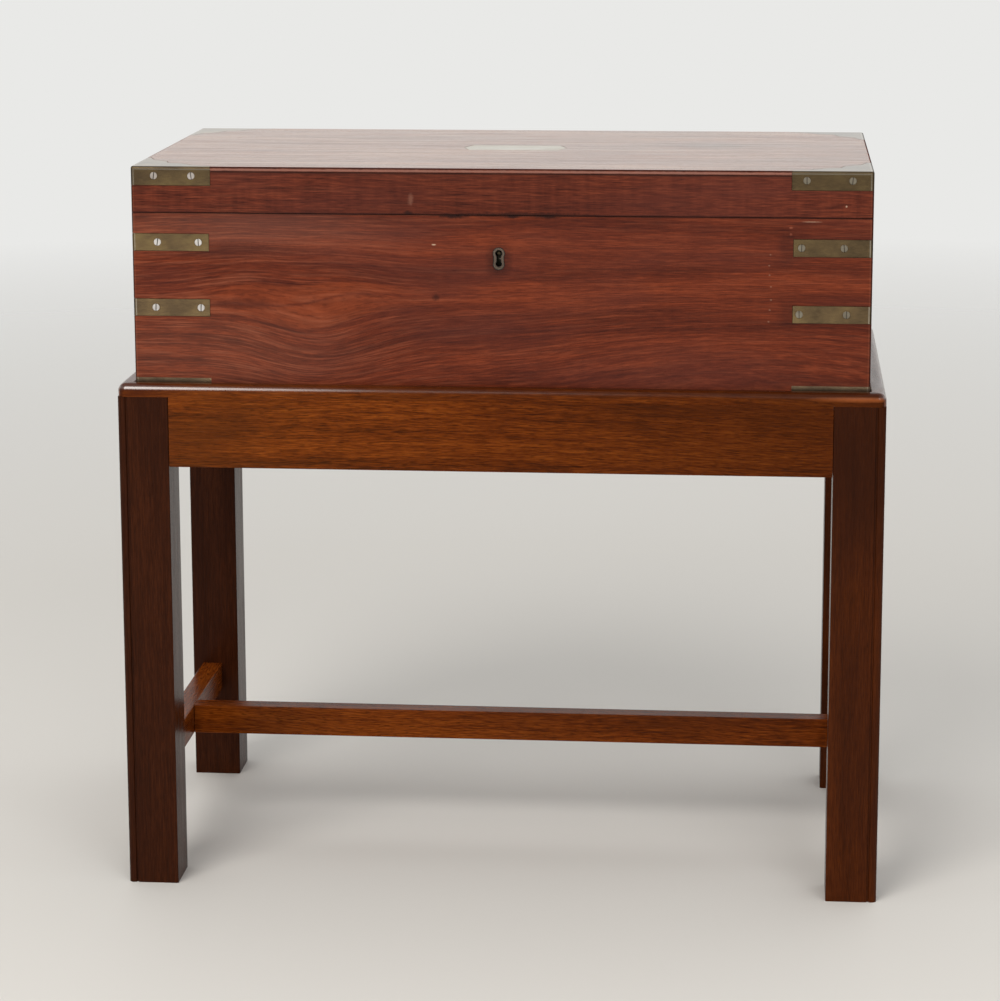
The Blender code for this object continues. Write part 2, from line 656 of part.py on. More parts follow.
def make_lock(case, lid):
    lock_front = -HALF_DEPTH + LOCK_SKIN
    lock_back = lock_front + LOCK_THICK
    lock_top = split_height(lock_back) - SAW_GAP / 2 - FIT
    lock_half = LOCK_WIDTH / 2
    lock_case = block(
        "lock_case", (-lock_half, lock_front, lock_top - LOCK_HEIGHT),
        (lock_half, lock_back, lock_top), "brass",
    )
    staple_y = lock_front + LOCK_PLATE + RUN + STAPLE_WIDTH / 2
    staple_foot = split_height(staple_y) - STAPLE_DEPTH
    finger_low = staple_foot + STAPLE_CHEEK + RUN
    finger_high = finger_low + BOLT_FINGER
    bar_low = finger_low - RUN * 3 - STAPLE_CHEEK - BOLT_BAR
    cavity_half = STAPLE_SPREAD + STAPLE_WIDTH / 2 + BOLT_TRAVEL + BOLT_POST + RUN * 3
    cavity = block(
        "lock_cavity", (-cavity_half, lock_front + LOCK_PLATE, bar_low - FIT),
        (cavity_half, lock_back - LOCK_PLATE, lock_top + OVERCUT),
    )
    cut(lock_case, cavity)
    cut(case["front"], block(
        "lock_pocket", (-lock_half - FIT, lock_front - FIT, lock_top - LOCK_HEIGHT - FIT),
        (lock_half + FIT, 0, BOX_TOP),
    ))

    hooks = []
    for sign in (1, -1):
        tip = sign * STAPLE_SPREAD - STAPLE_WIDTH / 2 - RUN
        hooks.append((tip - BOLT_TRAVEL - BOLT_POST, tip - BOLT_TRAVEL, tip))
    (right_post, right_finger, right_tip), (left_post, left_finger, left_tip) = hooks
    bar_high = bar_low + BOLT_BAR
    bolt = outline_solid(
        "lock_bolt",
        [
            (left_post, bar_low), (right_finger, bar_low),
            (right_finger, finger_low), (right_tip, finger_low),
            (right_tip, finger_high), (right_post, finger_high),
            (right_post, bar_high), (left_finger, bar_high),
            (left_finger, finger_low), (left_tip, finger_low),
            (left_tip, finger_high), (left_post, finger_high),
        ],
        -staple_y - BOLT_THICK / 2, -staple_y + BOLT_THICK / 2, "steel", UPRIGHT,
    )

    plate_front = slope_y(staple_y) - LINK_PLATE_WIDTH / 2
    plate_back = plate_front + LINK_PLATE_WIDTH
    plate_top = SAW_GAP / 2 + LINK_PLATE_THICK
    plate = block(
        "link_plate", (-lock_half, plate_front, SAW_GAP / 2), (lock_half, plate_back, plate_top),
        "brass", SLOPE_FRAME,
    )
    cut(lid["front"], block(
        "link_pocket", (-lock_half - FIT, plate_front - FIT, -OVERCUT),
        (lock_half + FIT, plate_back + FIT, plate_top + FIT), None, SLOPE_FRAME,
    ))
    window = BOLT_THICK / 2 + RUN
    for sign in (-1, 1):
        x = sign * STAPLE_SPREAD
        half = STAPLE_WIDTH / 2
        join(plate, block(
            "staple", (x - half, staple_y - half, staple_foot),
            (x + half, staple_y + half, split_height(staple_y) + SAW_GAP / 2 + LINK_PLATE_THICK / 2),
        ))
        cut(plate, block(
            "staple_window", (x - STAPLE_WIDTH, staple_y - window, finger_low - RUN),
            (x + STAPLE_WIDTH, staple_y + window, finger_high + RUN),
        ))

    key_height = split_height(-HALF_DEPTH) - KEYHOLE_DROP
    key_frame = Matrix.Translation((0, -HALF_DEPTH, key_height)) @ UPRIGHT
    escutcheon = outline_solid("keyhole_escutcheon", escutcheon_outline(), -BRASS, 0, "brass", key_frame)
    keyhole_depth = LOCK_SKIN + LOCK_THICK - LOCK_PLATE
    keyhole = outline_solid("keyhole", keyhole_outline(), -keyhole_depth, OVERCUT, None, key_frame)
    warded = outline_solid("warded_keyhole", keyhole_outline(True), -keyhole_depth, OVERCUT, None, key_frame)
    seat = outline_solid(
        "escutcheon_seat", escutcheon_outline(FIT), -BRASS - FIT, OVERCUT, None, key_frame
    )
    cut(escutcheon, warded)
    cut(case["front"], seat, keyhole)
    cut(lock_case, warded)
    pin_root = keyhole_depth + LOCK_PLATE / 2
    join(lock_case, rod(
        "key_pin", (0, 0, -(pin_root + KEY_PIN_SUNK) / 2), KEY_PIN_RADIUS, pin_root - KEY_PIN_SUNK,
        (0, 0, 1), None, key_frame,
    ))
    return [lock_case, escutcheon], [plate], bolt


# Inside: shelf, divider, well partitions, pen tray and writing flaps

def writing_flap(name, up, front, holder):
    low, high = sorted((up * FLAP_SUNK, up * (FLAP_SUNK + FLAP)))
    side = INNER_X + FLAP_REBATE
    flap_back = slope_y(INNER_Y) - FLAP_PLAY - FLAP * SLOPE_RISE
    flap_front = slope_y(front)
    flap = block(
        name, (-side + FIT, flap_front, low), (side - FIT, flap_back, high), "leather", SLOPE_FRAME
    )
    pocket_low, pocket_high = sorted((-up * OVERCUT, up * (FLAP_SUNK + FLAP + FIT)))
    for end_name, sign in ENDS:
        xs = sorted((sign * side, sign * (INNER_X - OVERCUT)))
        cut(holder[end_name], block(
            f"{name}_rebate_{end_name}", (xs[0], flap_front - FIT, pocket_low),
            (xs[1], flap_back + FIT, pocket_high), None, SLOPE_FRAME,
        ))
    return flap


def make_inside(case, lid):
    inner_x, inner_front = INNER_X - FIT, -INNER_Y + FIT
    shelf = block(
        "pen_shelf", (-inner_x, inner_front, SHELF_TOP - SHELF),
        (inner_x, DIVIDER_Y + DIVIDER, SHELF_TOP), "lining",
    )
    under_flap = -(FLAP_SUNK + FLAP + FIT)
    divider = block(
        "compartment_divider", (-inner_x, DIVIDER_Y, SHELF_TOP + FIT),
        (inner_x, DIVIDER_Y + DIVIDER, BOX_TOP), "lining",
    )
    saw_slope(divider, under_flap, True)
    flap_lean = (FLAP + FLAP_SUNK) * SLOPE_RISE
    flap_case = writing_flap("case_writing_flap", -1, DIVIDER_Y + flap_lean, case)
    flap_lid = writing_flap("lid_writing_flap", 1, -INNER_Y + FLAP_PLAY + flap_lean, lid)

    section_top = split_height(DIVIDER_Y)
    tray_top = section_top - TRAY_SUNK
    tray_low = tray_top - TRAY_HEIGHT
    step_top = tray_low - FIT
    partition_x = INNER_X - WELL - PARTITION
    partition_low = SHELF_TOP + FIT
    partition_top = section_top - PARTITION_SUNK
    pieces = [shelf, divider, flap_case]
    for end_name, sign in ENDS:
        outline = [
            (partition_x + PARTITION, partition_low), (partition_x + PARTITION, partition_top),
            (partition_x, partition_top), (partition_x, step_top),
            (partition_x - PARTITION_STEP, step_top), (partition_x - PARTITION_STEP, partition_low),
        ]
        pieces.append(outline_solid(
            f"well_partition_{end_name}", [(sign * x, z) for x, z in outline],
            -DIVIDER_Y + FIT, INNER_Y - FIT, "lining", UPRIGHT,
        ))
    tray_x = partition_x - TRAY_PLAY
    tray_front = -HALF_DEPTH + LOCK_SKIN + LOCK_THICK + TRAY_PLAY
    tray_back = DIVIDER_Y - TRAY_PLAY
    tray = block("pen_tray", (-tray_x, tray_front, tray_low), (tray_x, tray_back, tray_top), "lining")
    tray_middle = (tray_front + tray_back) / 2
    for side in (-1, 1):
        cut(tray, rod(
            "pen_groove", (0, tray_middle + side * (TRAY_GROOVE + TRAY_RIB / 2), tray_top),
            TRAY_GROOVE, 2 * (tray_x - TRAY_END), (1, 0, 0),
        ))
    pieces.append(tray)

    caps = []
    well_y = (-INNER_Y + DIVIDER_Y) / 2
    for end_name, sign in ENDS:
        x = sign * (INNER_X - WELL / 2)
        base = SHELF_TOP + FIT
        half = INKWELL / 2
        body_top = base + INKWELL_BODY
        neck_top = body_top + INKWELL_NECK
        bottle = block(
            f"inkwell_{end_name}", (x - half, well_y - half, base),
            (x + half, well_y + half, body_top), "glass",
        )
        bevel = bottle.modifiers.new("eased edges", "BEVEL")
        bevel.width = INKWELL_EDGE
        bevel.segments = EDGE_STEPS
        join(bottle, rod(
            "inkwell_neck", (x, well_y, (body_top + neck_top) / 2 - FIT), INKWELL_NECK_RADIUS,
            INKWELL_NECK + FIT * 2, (0, 0, 1),
        ))
        bore_low = base + INKWELL_FLOOR
        cut(bottle, rod(
            "inkwell_bore", (x, well_y, (bore_low + neck_top + OVERCUT) / 2), INKWELL_BORE,
            neck_top + OVERCUT - bore_low, (0, 0, 1),
        ))
        pieces.append(bottle)
        cap_low, cap_inside = body_top + FIT, neck_top + FIT
        cap_top = cap_inside + CAP_WALL
        cap_bore = INKWELL_NECK_RADIUS + FIT
        cap = rod(
            f"inkwell_cap_{end_name}", (x, well_y, (cap_low + cap_top) / 2), cap_bore + CAP_WALL,
            cap_top - cap_low, (0, 0, 1), "brass",
        )
        cut(cap, rod(
            "cap_bore", (x, well_y, (cap_low - OVERCUT + cap_inside) / 2), cap_bore,
            cap_inside - cap_low + OVERCUT, (0, 0, 1),
        ))
        caps.append(cap)
    return pieces, [flap_lid], caps


# Each moving group hangs on an empty that stands on its joint's axis
def carry(name, place, pieces, parent=None):
    holder = bpy.data.objects.new(name, None)
    parts.objects.link(holder)
    holder.location = place
    if parent:
        holder.parent = parent
        holder.matrix_parent_inverse = Matrix.Translation(-parent.location)
    for piece in pieces:
        piece.parent = holder
        piece.matrix_parent_inverse = Matrix.Translation(-Vector(place))
    return holder


case, lid = make_carcass()
stand_pieces = make_stand()
case_brass, lid_brass = make_brass(case, lid)
case_hinges, lid_hinges = make_hinges(case, lid)
case_lock, lid_lock, bolt = make_lock(case, lid)
case_inside, lid_inside, caps = make_inside(case, lid)

case_pieces = [*case.values(), *case_brass, *case_hinges, *case_lock, *case_inside]
lid_pieces = [*lid.values(), *lid_brass, *lid_hinges, *lid_lock, *lid_inside]

carry("stand_place", (0, 0, 0), stand_pieces)
desk = carry("desk_lift_axis", (0, 0, BOX_BASE), case_pieces)
carry("lid_hinge_axis", HINGE_AXIS, lid_pieces, desk)
carry("lock_bolt_axis", bolt.location, [bolt], desk)
for cap in caps:
    carry(cap.name + "_axis", cap.location, [cap], desk)
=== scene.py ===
import math

import bpy
from mathutils import Matrix, Vector


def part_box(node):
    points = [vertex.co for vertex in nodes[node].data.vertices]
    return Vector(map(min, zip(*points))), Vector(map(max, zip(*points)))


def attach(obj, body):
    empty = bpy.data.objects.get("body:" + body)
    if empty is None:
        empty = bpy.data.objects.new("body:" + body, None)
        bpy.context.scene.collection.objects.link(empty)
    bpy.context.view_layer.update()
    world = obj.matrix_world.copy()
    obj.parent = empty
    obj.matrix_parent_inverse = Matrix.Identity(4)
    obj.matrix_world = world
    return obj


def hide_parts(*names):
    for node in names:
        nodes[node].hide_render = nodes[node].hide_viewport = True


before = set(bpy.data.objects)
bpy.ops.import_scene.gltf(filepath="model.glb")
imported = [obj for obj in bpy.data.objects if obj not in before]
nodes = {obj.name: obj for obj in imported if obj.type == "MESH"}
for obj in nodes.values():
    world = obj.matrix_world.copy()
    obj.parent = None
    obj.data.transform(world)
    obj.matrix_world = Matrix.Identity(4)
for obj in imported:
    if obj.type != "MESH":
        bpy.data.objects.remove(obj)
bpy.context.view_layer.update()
scene = bpy.context.scene
mm = 0.001
slack = 0.01 * mm  # for edges and faces that are chosen by their place
bpy.ops.object.select_all(action="DESELECT")

# Measures of the box and stand, read from the frame
boxHalfX, boxHalfY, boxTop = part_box("lid_top")[1]
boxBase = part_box("case_front")[0].z
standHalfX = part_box("rim_right")[1].x
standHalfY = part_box("rim_back")[1].y
rimLow, rimHigh = (corner.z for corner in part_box("rim_front"))
sawGap = 0.5 * mm
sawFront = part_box("case_left")[1].z + sawGap / 2
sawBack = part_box("lid_left")[0].z - sawGap / 2
sawSlope = math.atan2(sawFront - sawBack, 2 * boxHalfY)
sawSquare = Vector((0, math.sin(sawSlope), math.cos(sawSlope)))  # stands up from the saw cut
sides = {  # the way each side faces, and the way it runs
    "front": (Vector((0, -1, 0)), Vector((1, 0, 0))),
    "back": (Vector((0, 1, 0)), Vector((1, 0, 0))),
    "left": (Vector((-1, 0, 0)), Vector((0, 1, 0))),
    "right": (Vector((1, 0, 0)), Vector((0, 1, 0))),
}
corners = [
    (deep, end, sy, sx)
    for deep, sy in (("front", -1), ("back", 1))
    for end, sx in (("left", -1), ("right", 1))
]
print("frame loaded,", len(nodes), "solids")


def inMm(**lengths):
    return {name: length * mm for name, length in lengths.items()}


def sawHeight(y):
    return sawBack + (boxHalfY - y) * math.tan(sawSlope)


# Camera and light

cameraView = {
    "place": (0.18268, -2.18792, 0.74026),
    "yaw": 5.0668,
    "pitch": 10.6643,
    "roll": 0.1291,
    "lens": 109.415,
    "shift": -0.1004,  # the picture was cropped below the lens axis
}


def placeCamera(view):
    yaw, pitch, roll = (math.radians(view[turn]) for turn in ("yaw", "pitch", "roll"))
    ahead = Vector((-math.sin(yaw) * math.cos(pitch), math.cos(yaw) * math.cos(pitch), -math.sin(pitch)))
    level = Vector((math.cos(yaw), math.sin(yaw), 0))
    below = ahead.cross(level)
    right = math.cos(roll) * level + math.sin(roll) * below
    down = math.cos(roll) * below - math.sin(roll) * level
    data = bpy.data.cameras.new("deskCamera")
    data.lens = view["lens"]
    data.shift_y = view["shift"]
    camera = bpy.data.objects.new("deskCamera", data)
    turn = Matrix((right, -down, -ahead)).transposed().to_4x4()
    camera.matrix_world = Matrix.Translation(view["place"]) @ turn
    scene.collection.objects.link(camera)
    scene.camera = camera


lamps = {
    "keyLamp": {
        "place": (-1.05, -2.3, 2.5), "aim": (0, 0, 0.3), "size": 1.7, "tall": 2.6, "power": 63,
        "colour": (1.0, 0.965, 0.92),
    },
    "fillLamp": {"place": (1.1, -2.4, 1.9), "aim": (0, 0, 0.3), "size": 1.7, "power": 22},
    "skyLamp": {"place": (0.2, 0.9, 3.1), "aim": (0, 0.2, 0.3), "size": 4.2, "power": 30},
}


def hangLamps():
    for name, look in lamps.items():
        data = bpy.data.lights.new(name, "AREA")
        data.shape = "ELLIPSE"
        data.size = look["size"]
        data.size_y = look.get("tall", look["size"])
        data.energy = look["power"]
        data.color = look.get("colour", (1.0, 1.0, 1.0))
        lamp = bpy.data.objects.new(name, data)
        lamp.location = look["place"]
        lamp.rotation_euler = (Vector(look["aim"]) - lamp.location).to_track_quat("-Z", "Y").to_euler()
        scene.collection.objects.link(lamp)


# Shader nodes

def shade(red, green, blue):  # a colour as seen, 0 to 255
    seen = (value / 255 for value in (red, green, blue))
    return (*(c / 12.92 if c <= 0.04045 else ((c + 0.055) / 1.055) ** 2.4 for c in seen), 1)


def like(base, *colours, **changes):  # a finish with dark, middle and light tones of its own
    tones = {name: shade(*colour) for name, colour in zip(("dark", "middle", "light"), colours)}
    return {**base, **tones, **changes}


def feed(node, inputs):  # links the sockets and sets the plain values
    for name, value in inputs.items():
        if isinstance(value, bpy.types.NodeSocket):
            node.id_data.links.new(value, node.inputs[name])
        else:
            node.inputs[name].default_value = value


def add(kind, inputs, **settings):  # a node in the tree that its inputs come from
    tree = next(value.id_data for value in inputs.values() if isinstance(value, bpy.types.NodeSocket))
    made = tree.nodes.new("ShaderNode" + kind)
    for name, value in settings.items():
        setattr(made, name, value)
    feed(made, inputs)
    return made


def work(operation, first, second=0.0, third=0.0):
    return add("Math", {0: first, 1: second, 2: third}, operation=operation).outputs[0]


def times(first, *others):
    for other in others:
        first = work("MULTIPLY", first, other)
    return first


def less(first, second):
    return work("SUBTRACT", first, second)


def addShare(onto, value, share):
    return work("MULTIPLY_ADD", value, share, onto)


def span(value, low, high, toLow=0.0, toHigh=1.0):
    limits = {"Value": value, "From Min": low, "From Max": high, "To Min": toLow, "To Max": toHigh}
    return add("MapRange", limits).outputs[0]


def tint(amount, under, over, share=1.0, kind="MIX"):
    amount = times(amount, share)
    return add("Mix", {0: amount, 6: under, 7: over}, data_type="RGBA", blend_type=kind).outputs[2]


def stretched(vector, scale, detail=2.0, roughness=0.5):
    fitted = add("VectorMath", {0: vector, 1: scale}, operation="MULTIPLY").outputs[0]
    inputs = {"Vector": fitted, "Scale": 1.0, "Detail": detail, "Roughness": roughness}
    return add("TexNoise", inputs).outputs[0]


def ramp(factor, *stops):
    made = add("ValToRGB", {0: factor})
    elements = made.color_ramp.elements
    while len(elements) < len(stops):
        elements.new(0.5)
    for element, (place, colour) in zip(elements, stops):
        element.position = place
        element.color = colour
    return made.outputs[0]


def toneRamp(factor, look, stops):
    return ramp(factor, *zip(stops, (look["dark"], look["middle"], look["light"])))


def bell(value, middle, width):
    off = work("DIVIDE", less(value, middle), width)
    return work("EXPONENT", times(off, off, -1.0))


def newGroup(name, inputs, outputs):
    group = bpy.data.node_groups.new(name, "ShaderNodeTree")
    for label, value in inputs.items():
        kind = "NodeSocketVector" if isinstance(value, tuple) else "NodeSocketFloat"
        socket = group.interface.new_socket(label, in_out="INPUT", socket_type=kind)
        socket.default_value = value
    for label in outputs:
        group.interface.new_socket(label, in_out="OUTPUT", socket_type="NodeSocketFloat")
    made = group.nodes
    return group, made.new("NodeGroupInput").outputs, made.new("NodeGroupOutput")


def placeGroup(group, vector, values):
    return add("Group", {"Vector": vector, **values}, node_tree=group).outputs


def newMaterial(name):
    material = bpy.data.materials.new(name)
    material.use_nodes = True
    made = material.node_tree.nodes
    return material, made["Principled BSDF"], made.new("ShaderNodeTexCoord").outputs["Object"]


def bumpOf(height, strength, distance):
    return add("Bump", {"Height": height, "Strength": strength, "Distance": distance}).outputs[0]


# Grain of a board. Its vector runs along, across and through the board, in metres.

def fromPlace(given, kind):
    away = add("VectorMath", {0: given["Vector"], 1: given[kind + " Place"]}, operation="SUBTRACT")
    return add("SeparateXYZ", {0: away.outputs[0]}).outputs[:2]


# Lines of the grain rise over an arch
def pushOfArch(given):
    along, across = fromPlace(given, "Arch")
    farAlong = work("DIVIDE", along, given["Arch Length"])
    farAcross = work("DIVIDE", across, given["Arch Height"])
    far = addShare(times(farAlong, farAlong), farAcross, farAcross)
    close = work("EXPONENT", times(far, -1.0))
    return times(close, given["Arch Strength"], across)


# An eye: a winding dark line with a paler lobe above it and a deeper one below
eyeShape = {
    **inMm(swing=7.9, swingLength=36, swingReach=30, reach=72, middle=-5),
    **inMm(line=1.4, lineOff=0.4, lobeSoft=1.4),
    "tilt": 0.045, "swayShare": 0.4, "lineEdge": (0.3 * mm, 1.4 * mm),
    "above": inMm(swell=26, edge=6.5, rise=30, fade=35, at=-35, length=60),
    "below": inMm(swell=38, edge=7, rise=40, fade=60, at=2, length=50),
}


def eyeOf(given, look, sway):
    along, across = fromPlace(given, "Eye")
    strength = given["Eye Strength"]
    farAlong = work("DIVIDE", along, look["swingLength"])
    swing = times(farAlong, bell(farAlong, 0.0, 1.0), look["swing"], strength)
    line = less(addShare(across, along, -look["tilt"]), swing)
    line = addShare(line, sway, look["swayShare"])
    push = times(swing, bell(across, 0.0, look["swingReach"]))
    kernel = 0.0
    lines = bell(line, 0.0, look["line"])
    for side, turn in (("above", 1.0), ("below", -1.0)):
        lobe = look[side]
        swell = times(bell(along, lobe["at"], lobe["length"]), strength)
        away = work("MAXIMUM", times(line, turn), 0.0)
        grown = less(1.0, work("EXPONENT", work("DIVIDE", away, -lobe["rise"])))
        swollen = times(grown, bell(away, 0.0, lobe["fade"]), swell, lobe["swell"])
        push = addShare(push, swollen, turn)
        level = less(away, swollen)
        inside = span(level, lobe["edge"], lobe["edge"] - look["lobeSoft"])
        inside = times(span(away, *look["lineEdge"]), inside)
        kernel = work("MAXIMUM", kernel, inside)
        rim = bell(level, lobe["edge"] + look["lineOff"], look["line"])
        lines = work("ADD", lines, rim)
    fading = times(bell(along, look["middle"], look["reach"]), strength)
    return push, times(kernel, fading), times(lines, fading)


# How fine each part of the figure is along, across and through, its detail and roughness, and its limits
figureParts = {
    "Band": ((2.6, 60.0, 24.0), 2.0, 0.5),
    "Streak": ((13.0, 360.0, 130.0), 3.0, 0.6),
    "Fibre": ((90.0, 1350.0, 900.0), 2.0, 0.6),
    "Pores": ((150.0, 1500.0, 700.0), 1.0, 0.5, 0.58, 0.70),
    "Pale": ((24.0, 620.0, 240.0), 2.0, 0.6, 0.50, 0.74),
    "Cloud": ((7.0, 26.0, 12.0), 2.0, 0.5),
}
swayPart = ((4.0, 11.0, 11.0), 1.0)
chatterPart = ((110.0, 7.0, 7.0), 3.0, 0.7)


def makeWoodFigure():
    zero = (0.0, 0.0, 0.0)
    group, given, out = newGroup(
        "woodFigure",
        {
            "Vector": zero, "Offset": zero, "Wander": 0.004, "Slant": 0.0,
            "Eye Place": zero, "Eye Strength": 0.0,
            "Arch Place": zero, "Arch Length": 0.2, "Arch Height": 0.05, "Arch Strength": 0.0,
        },
        (*figureParts, "Chatter", "Eye", "Eye Line"),
    )
    moved = add("VectorMath", {0: given["Vector"], 1: given["Offset"]}, operation="ADD").outputs[0]
    sway = stretched(moved, *swayPart)
    sway = times(less(sway, 0.5), given["Wander"])
    eyePush, eye, eyeLine = eyeOf(given, eyeShape, sway)
    along, across, through = add("SeparateXYZ", {0: moved}).outputs
    across = less(across, work("ADD", eyePush, pushOfArch(given)))
    across = work("ADD", across, sway)
    across = addShare(across, along, given["Slant"])
    grain = add("CombineXYZ", {0: along, 1: across, 2: through}).outputs[0]
    seen = {}
    for part, (scale, detail, roughness, *limits) in figureParts.items():
        seen[part] = stretched(grain, scale, detail, roughness)
        if limits:
            seen[part] = span(seen[part], *limits)
    chatter = stretched(moved, *chatterPart)
    feed(out, {**seen, "Chatter": chatter, "Eye": eye, "Eye Line": eyeLine})
    return group


# Nearness to the arrises of a block that is centred on the Z axis, in shares of the reach
arrisBands = {"worn": (1.0, 0.2), "rubbed": (0.42, 0.62), "edge": (0.58, 0.38), "line": (0.86, 0.17)}


# Wear marks real worn patches; Edge and Line carry painted shade and a painted highlight along the arrises
def makeArrisWearAndShading():
    group, given, out = newGroup(
        "arrisWearAndShading",
        {"Vector": (0.0, 0.0, 0.0), "Half Width": 0.1, "Half Depth": 0.1, "Top": 0.1, "Reach": 0.001},
        ("Wear", "Edge", "Line"),
    )
    place = add("SeparateXYZ", {0: given["Vector"]}).outputs
    fromSide = less(given["Half Width"], work("ABSOLUTE", place[0]))
    fromFace = less(given["Half Depth"], work("ABSOLUTE", place[1]))
    fromTop = less(given["Top"], place[2])
    nearer = work("MINIMUM", fromSide, fromFace)
    further = work("MAXIMUM", fromSide, fromFace)
    second = work("MAXIMUM", nearer, work("MINIMUM", further, fromTop))
    rubbed = stretched(given["Vector"], (60.0, 60.0, 60.0), 4.0, 0.65)
    near = work("DIVIDE", second, given["Reach"])
    worn = times(span(near, *arrisBands["worn"]), span(rubbed, *arrisBands["rubbed"]))
    edge, line = span(near, *arrisBands["edge"]), bell(near, *arrisBands["line"])
    feed(out, {"Wear": worn, "Edge": edge, "Line": line})
    return group


# A soft round or long mark at one place, which fades between these shares of its spread
markEdge = (1.0, 0.35)


def makeMark():
    group, given, out = newGroup(
        "mark",
        {"Vector": (0.0, 0.0, 0.0), "Place": (0.0, 0.0, 0.0), "Spread": (1.0, 1.0, 1.0), "Ragged": 0.0},
        ("Mask",),
    )
    away = add("VectorMath", {0: given["Vector"], 1: given["Place"]}, operation="SUBTRACT").outputs[0]
    reach = add("VectorMath", {0: away, 1: given["Spread"]}, operation="DIVIDE").outputs[0]
    far = add("VectorMath", {0: reach}, operation="LENGTH").outputs["Value"]
    rough = stretched(given["Vector"], (500.0, 500.0, 500.0), 2.0)
    far = addShare(far, less(rough, 0.5), given["Ragged"])
    feed(out, {"Mask": span(far, *markEdge)})
    return group


woodFigure = makeWoodFigure()
arrisWearAndShading = makeArrisWearAndShading()
markGroup = makeMark()

# Finishes of the woods. Shares say how much of the tone comes from band, streak and fibre.
boxWood = like(
    {}, (58, 20, 11), (95, 39, 21), (130, 59, 33), shares=(0.30, 0.32, 0.38), spread=0.15,
    tinge=shade(84, 40, 32), tingeShare=0.5, eye=shade(140, 66, 33), eyeShare=0.26, eyeLine=-0.06,
    pores=0.3, pale=0.56, paleTint=shade(152, 84, 58), chatter=0.06,
    rough=(0.36, 0.46), bump=0.10, specular=0.13, wander=0.012, slant=0.0,
    # the wear colour also paints the highlight line along the arrises, and the edge colour is painted shade
    # on them
    arris=(boxHalfX, boxHalfY, boxTop, 2.0 * mm), wear=shade(150, 92, 70), wearShare=0.2,
    edge=0.75, edgeDark=shade(26, 12, 10), edgeRough=0.5, line=0.15,
)
lidWood = like(
    boxWood, (58, 22, 13), (93, 40, 25), (122, 58, 36),
    shares=(0.22, 0.20, 0.58), chatter=0.2, wander=0.006, pale=0.25,
)
topWood = like(
    boxWood, (96, 52, 34), (138, 88, 60), (184, 134, 98), tinge=shade(112, 82, 70),
    rough=(0.05, 0.2), specular=0.5, spread=0.14, paleTint=shade(196, 152, 120),
)
standWood = like(
    {}, (46, 17, 2), (98, 42, 7), (132, 66, 17), shares=(0.28, 0.24, 0.48), spread=0.14,
    tinge=shade(74, 32, 7), tingeShare=0.6, pores=0.6, pale=0.2, paleTint=shade(150, 80, 26), chatter=0.03,
    rough=(0.20, 0.28), bump=0.10, specular=0.06, wander=0.02, slant=0.012, edge=0.0,
    arris=(standHalfX, standHalfY, rimHigh, 8 * mm), wear=shade(120, 66, 30), wearShare=0.3,
)
rimWood = like(standWood, polish={
    "height": rimHigh - 2.6 * mm, "width": 1.15 * mm, "rough": 0.16, "ior": 2.0,
    "fade": (-0.26, -0.08), "right": 0.05, "corner": (standHalfX - 6 * mm, standHalfX - 2 * mm),
})
rimSideWood = like(rimWood, specular=0.5)
legWood = like(
    standWood, (32, 12, 4), (51, 22, 8), (70, 33, 14), tinge=shade(42, 17, 7), paleTint=shade(84, 42, 20),
    pores=0.4, spread=0.22, wander=0.006, slant=0.0,
    arris=(standHalfX, standHalfY, 1.0, 2.4 * mm), wear=shade(80, 44, 26),
)
warmLegWood = like(legWood, (42, 15, 2), (68, 29, 7), (88, 41, 12))
liningWood = like(
    boxWood, (70, 34, 22), (100, 52, 34), (132, 76, 50),
    rough=(0.5, 0.62), edge=0.0, arris=(boxHalfX, boxHalfY, 1.0, 0.3 * mm),
)
woodRange = {
    "cloud": (0.45, 0.68), "streak": (0.35, 0.65), "poreDepth": -0.8, "relief": 0.4 * mm,
    # the pale streaks are grain; their thinning out to the right is a painted sheen
    "sheenFade": (-0.22, 0.0), "sheenRight": 0.3,  # the pale streaks thin out to the right
}


def findArris(place, arris):
    return placeGroup(arrisWearAndShading, place, dict(zip(("Half Width", "Half Depth", "Top", "Reach"), arris)))


def layMark(vector, under, place, over, strength, kind):
    return tint(placeGroup(markGroup, vector, place)["Mask"], under, over, strength, kind)


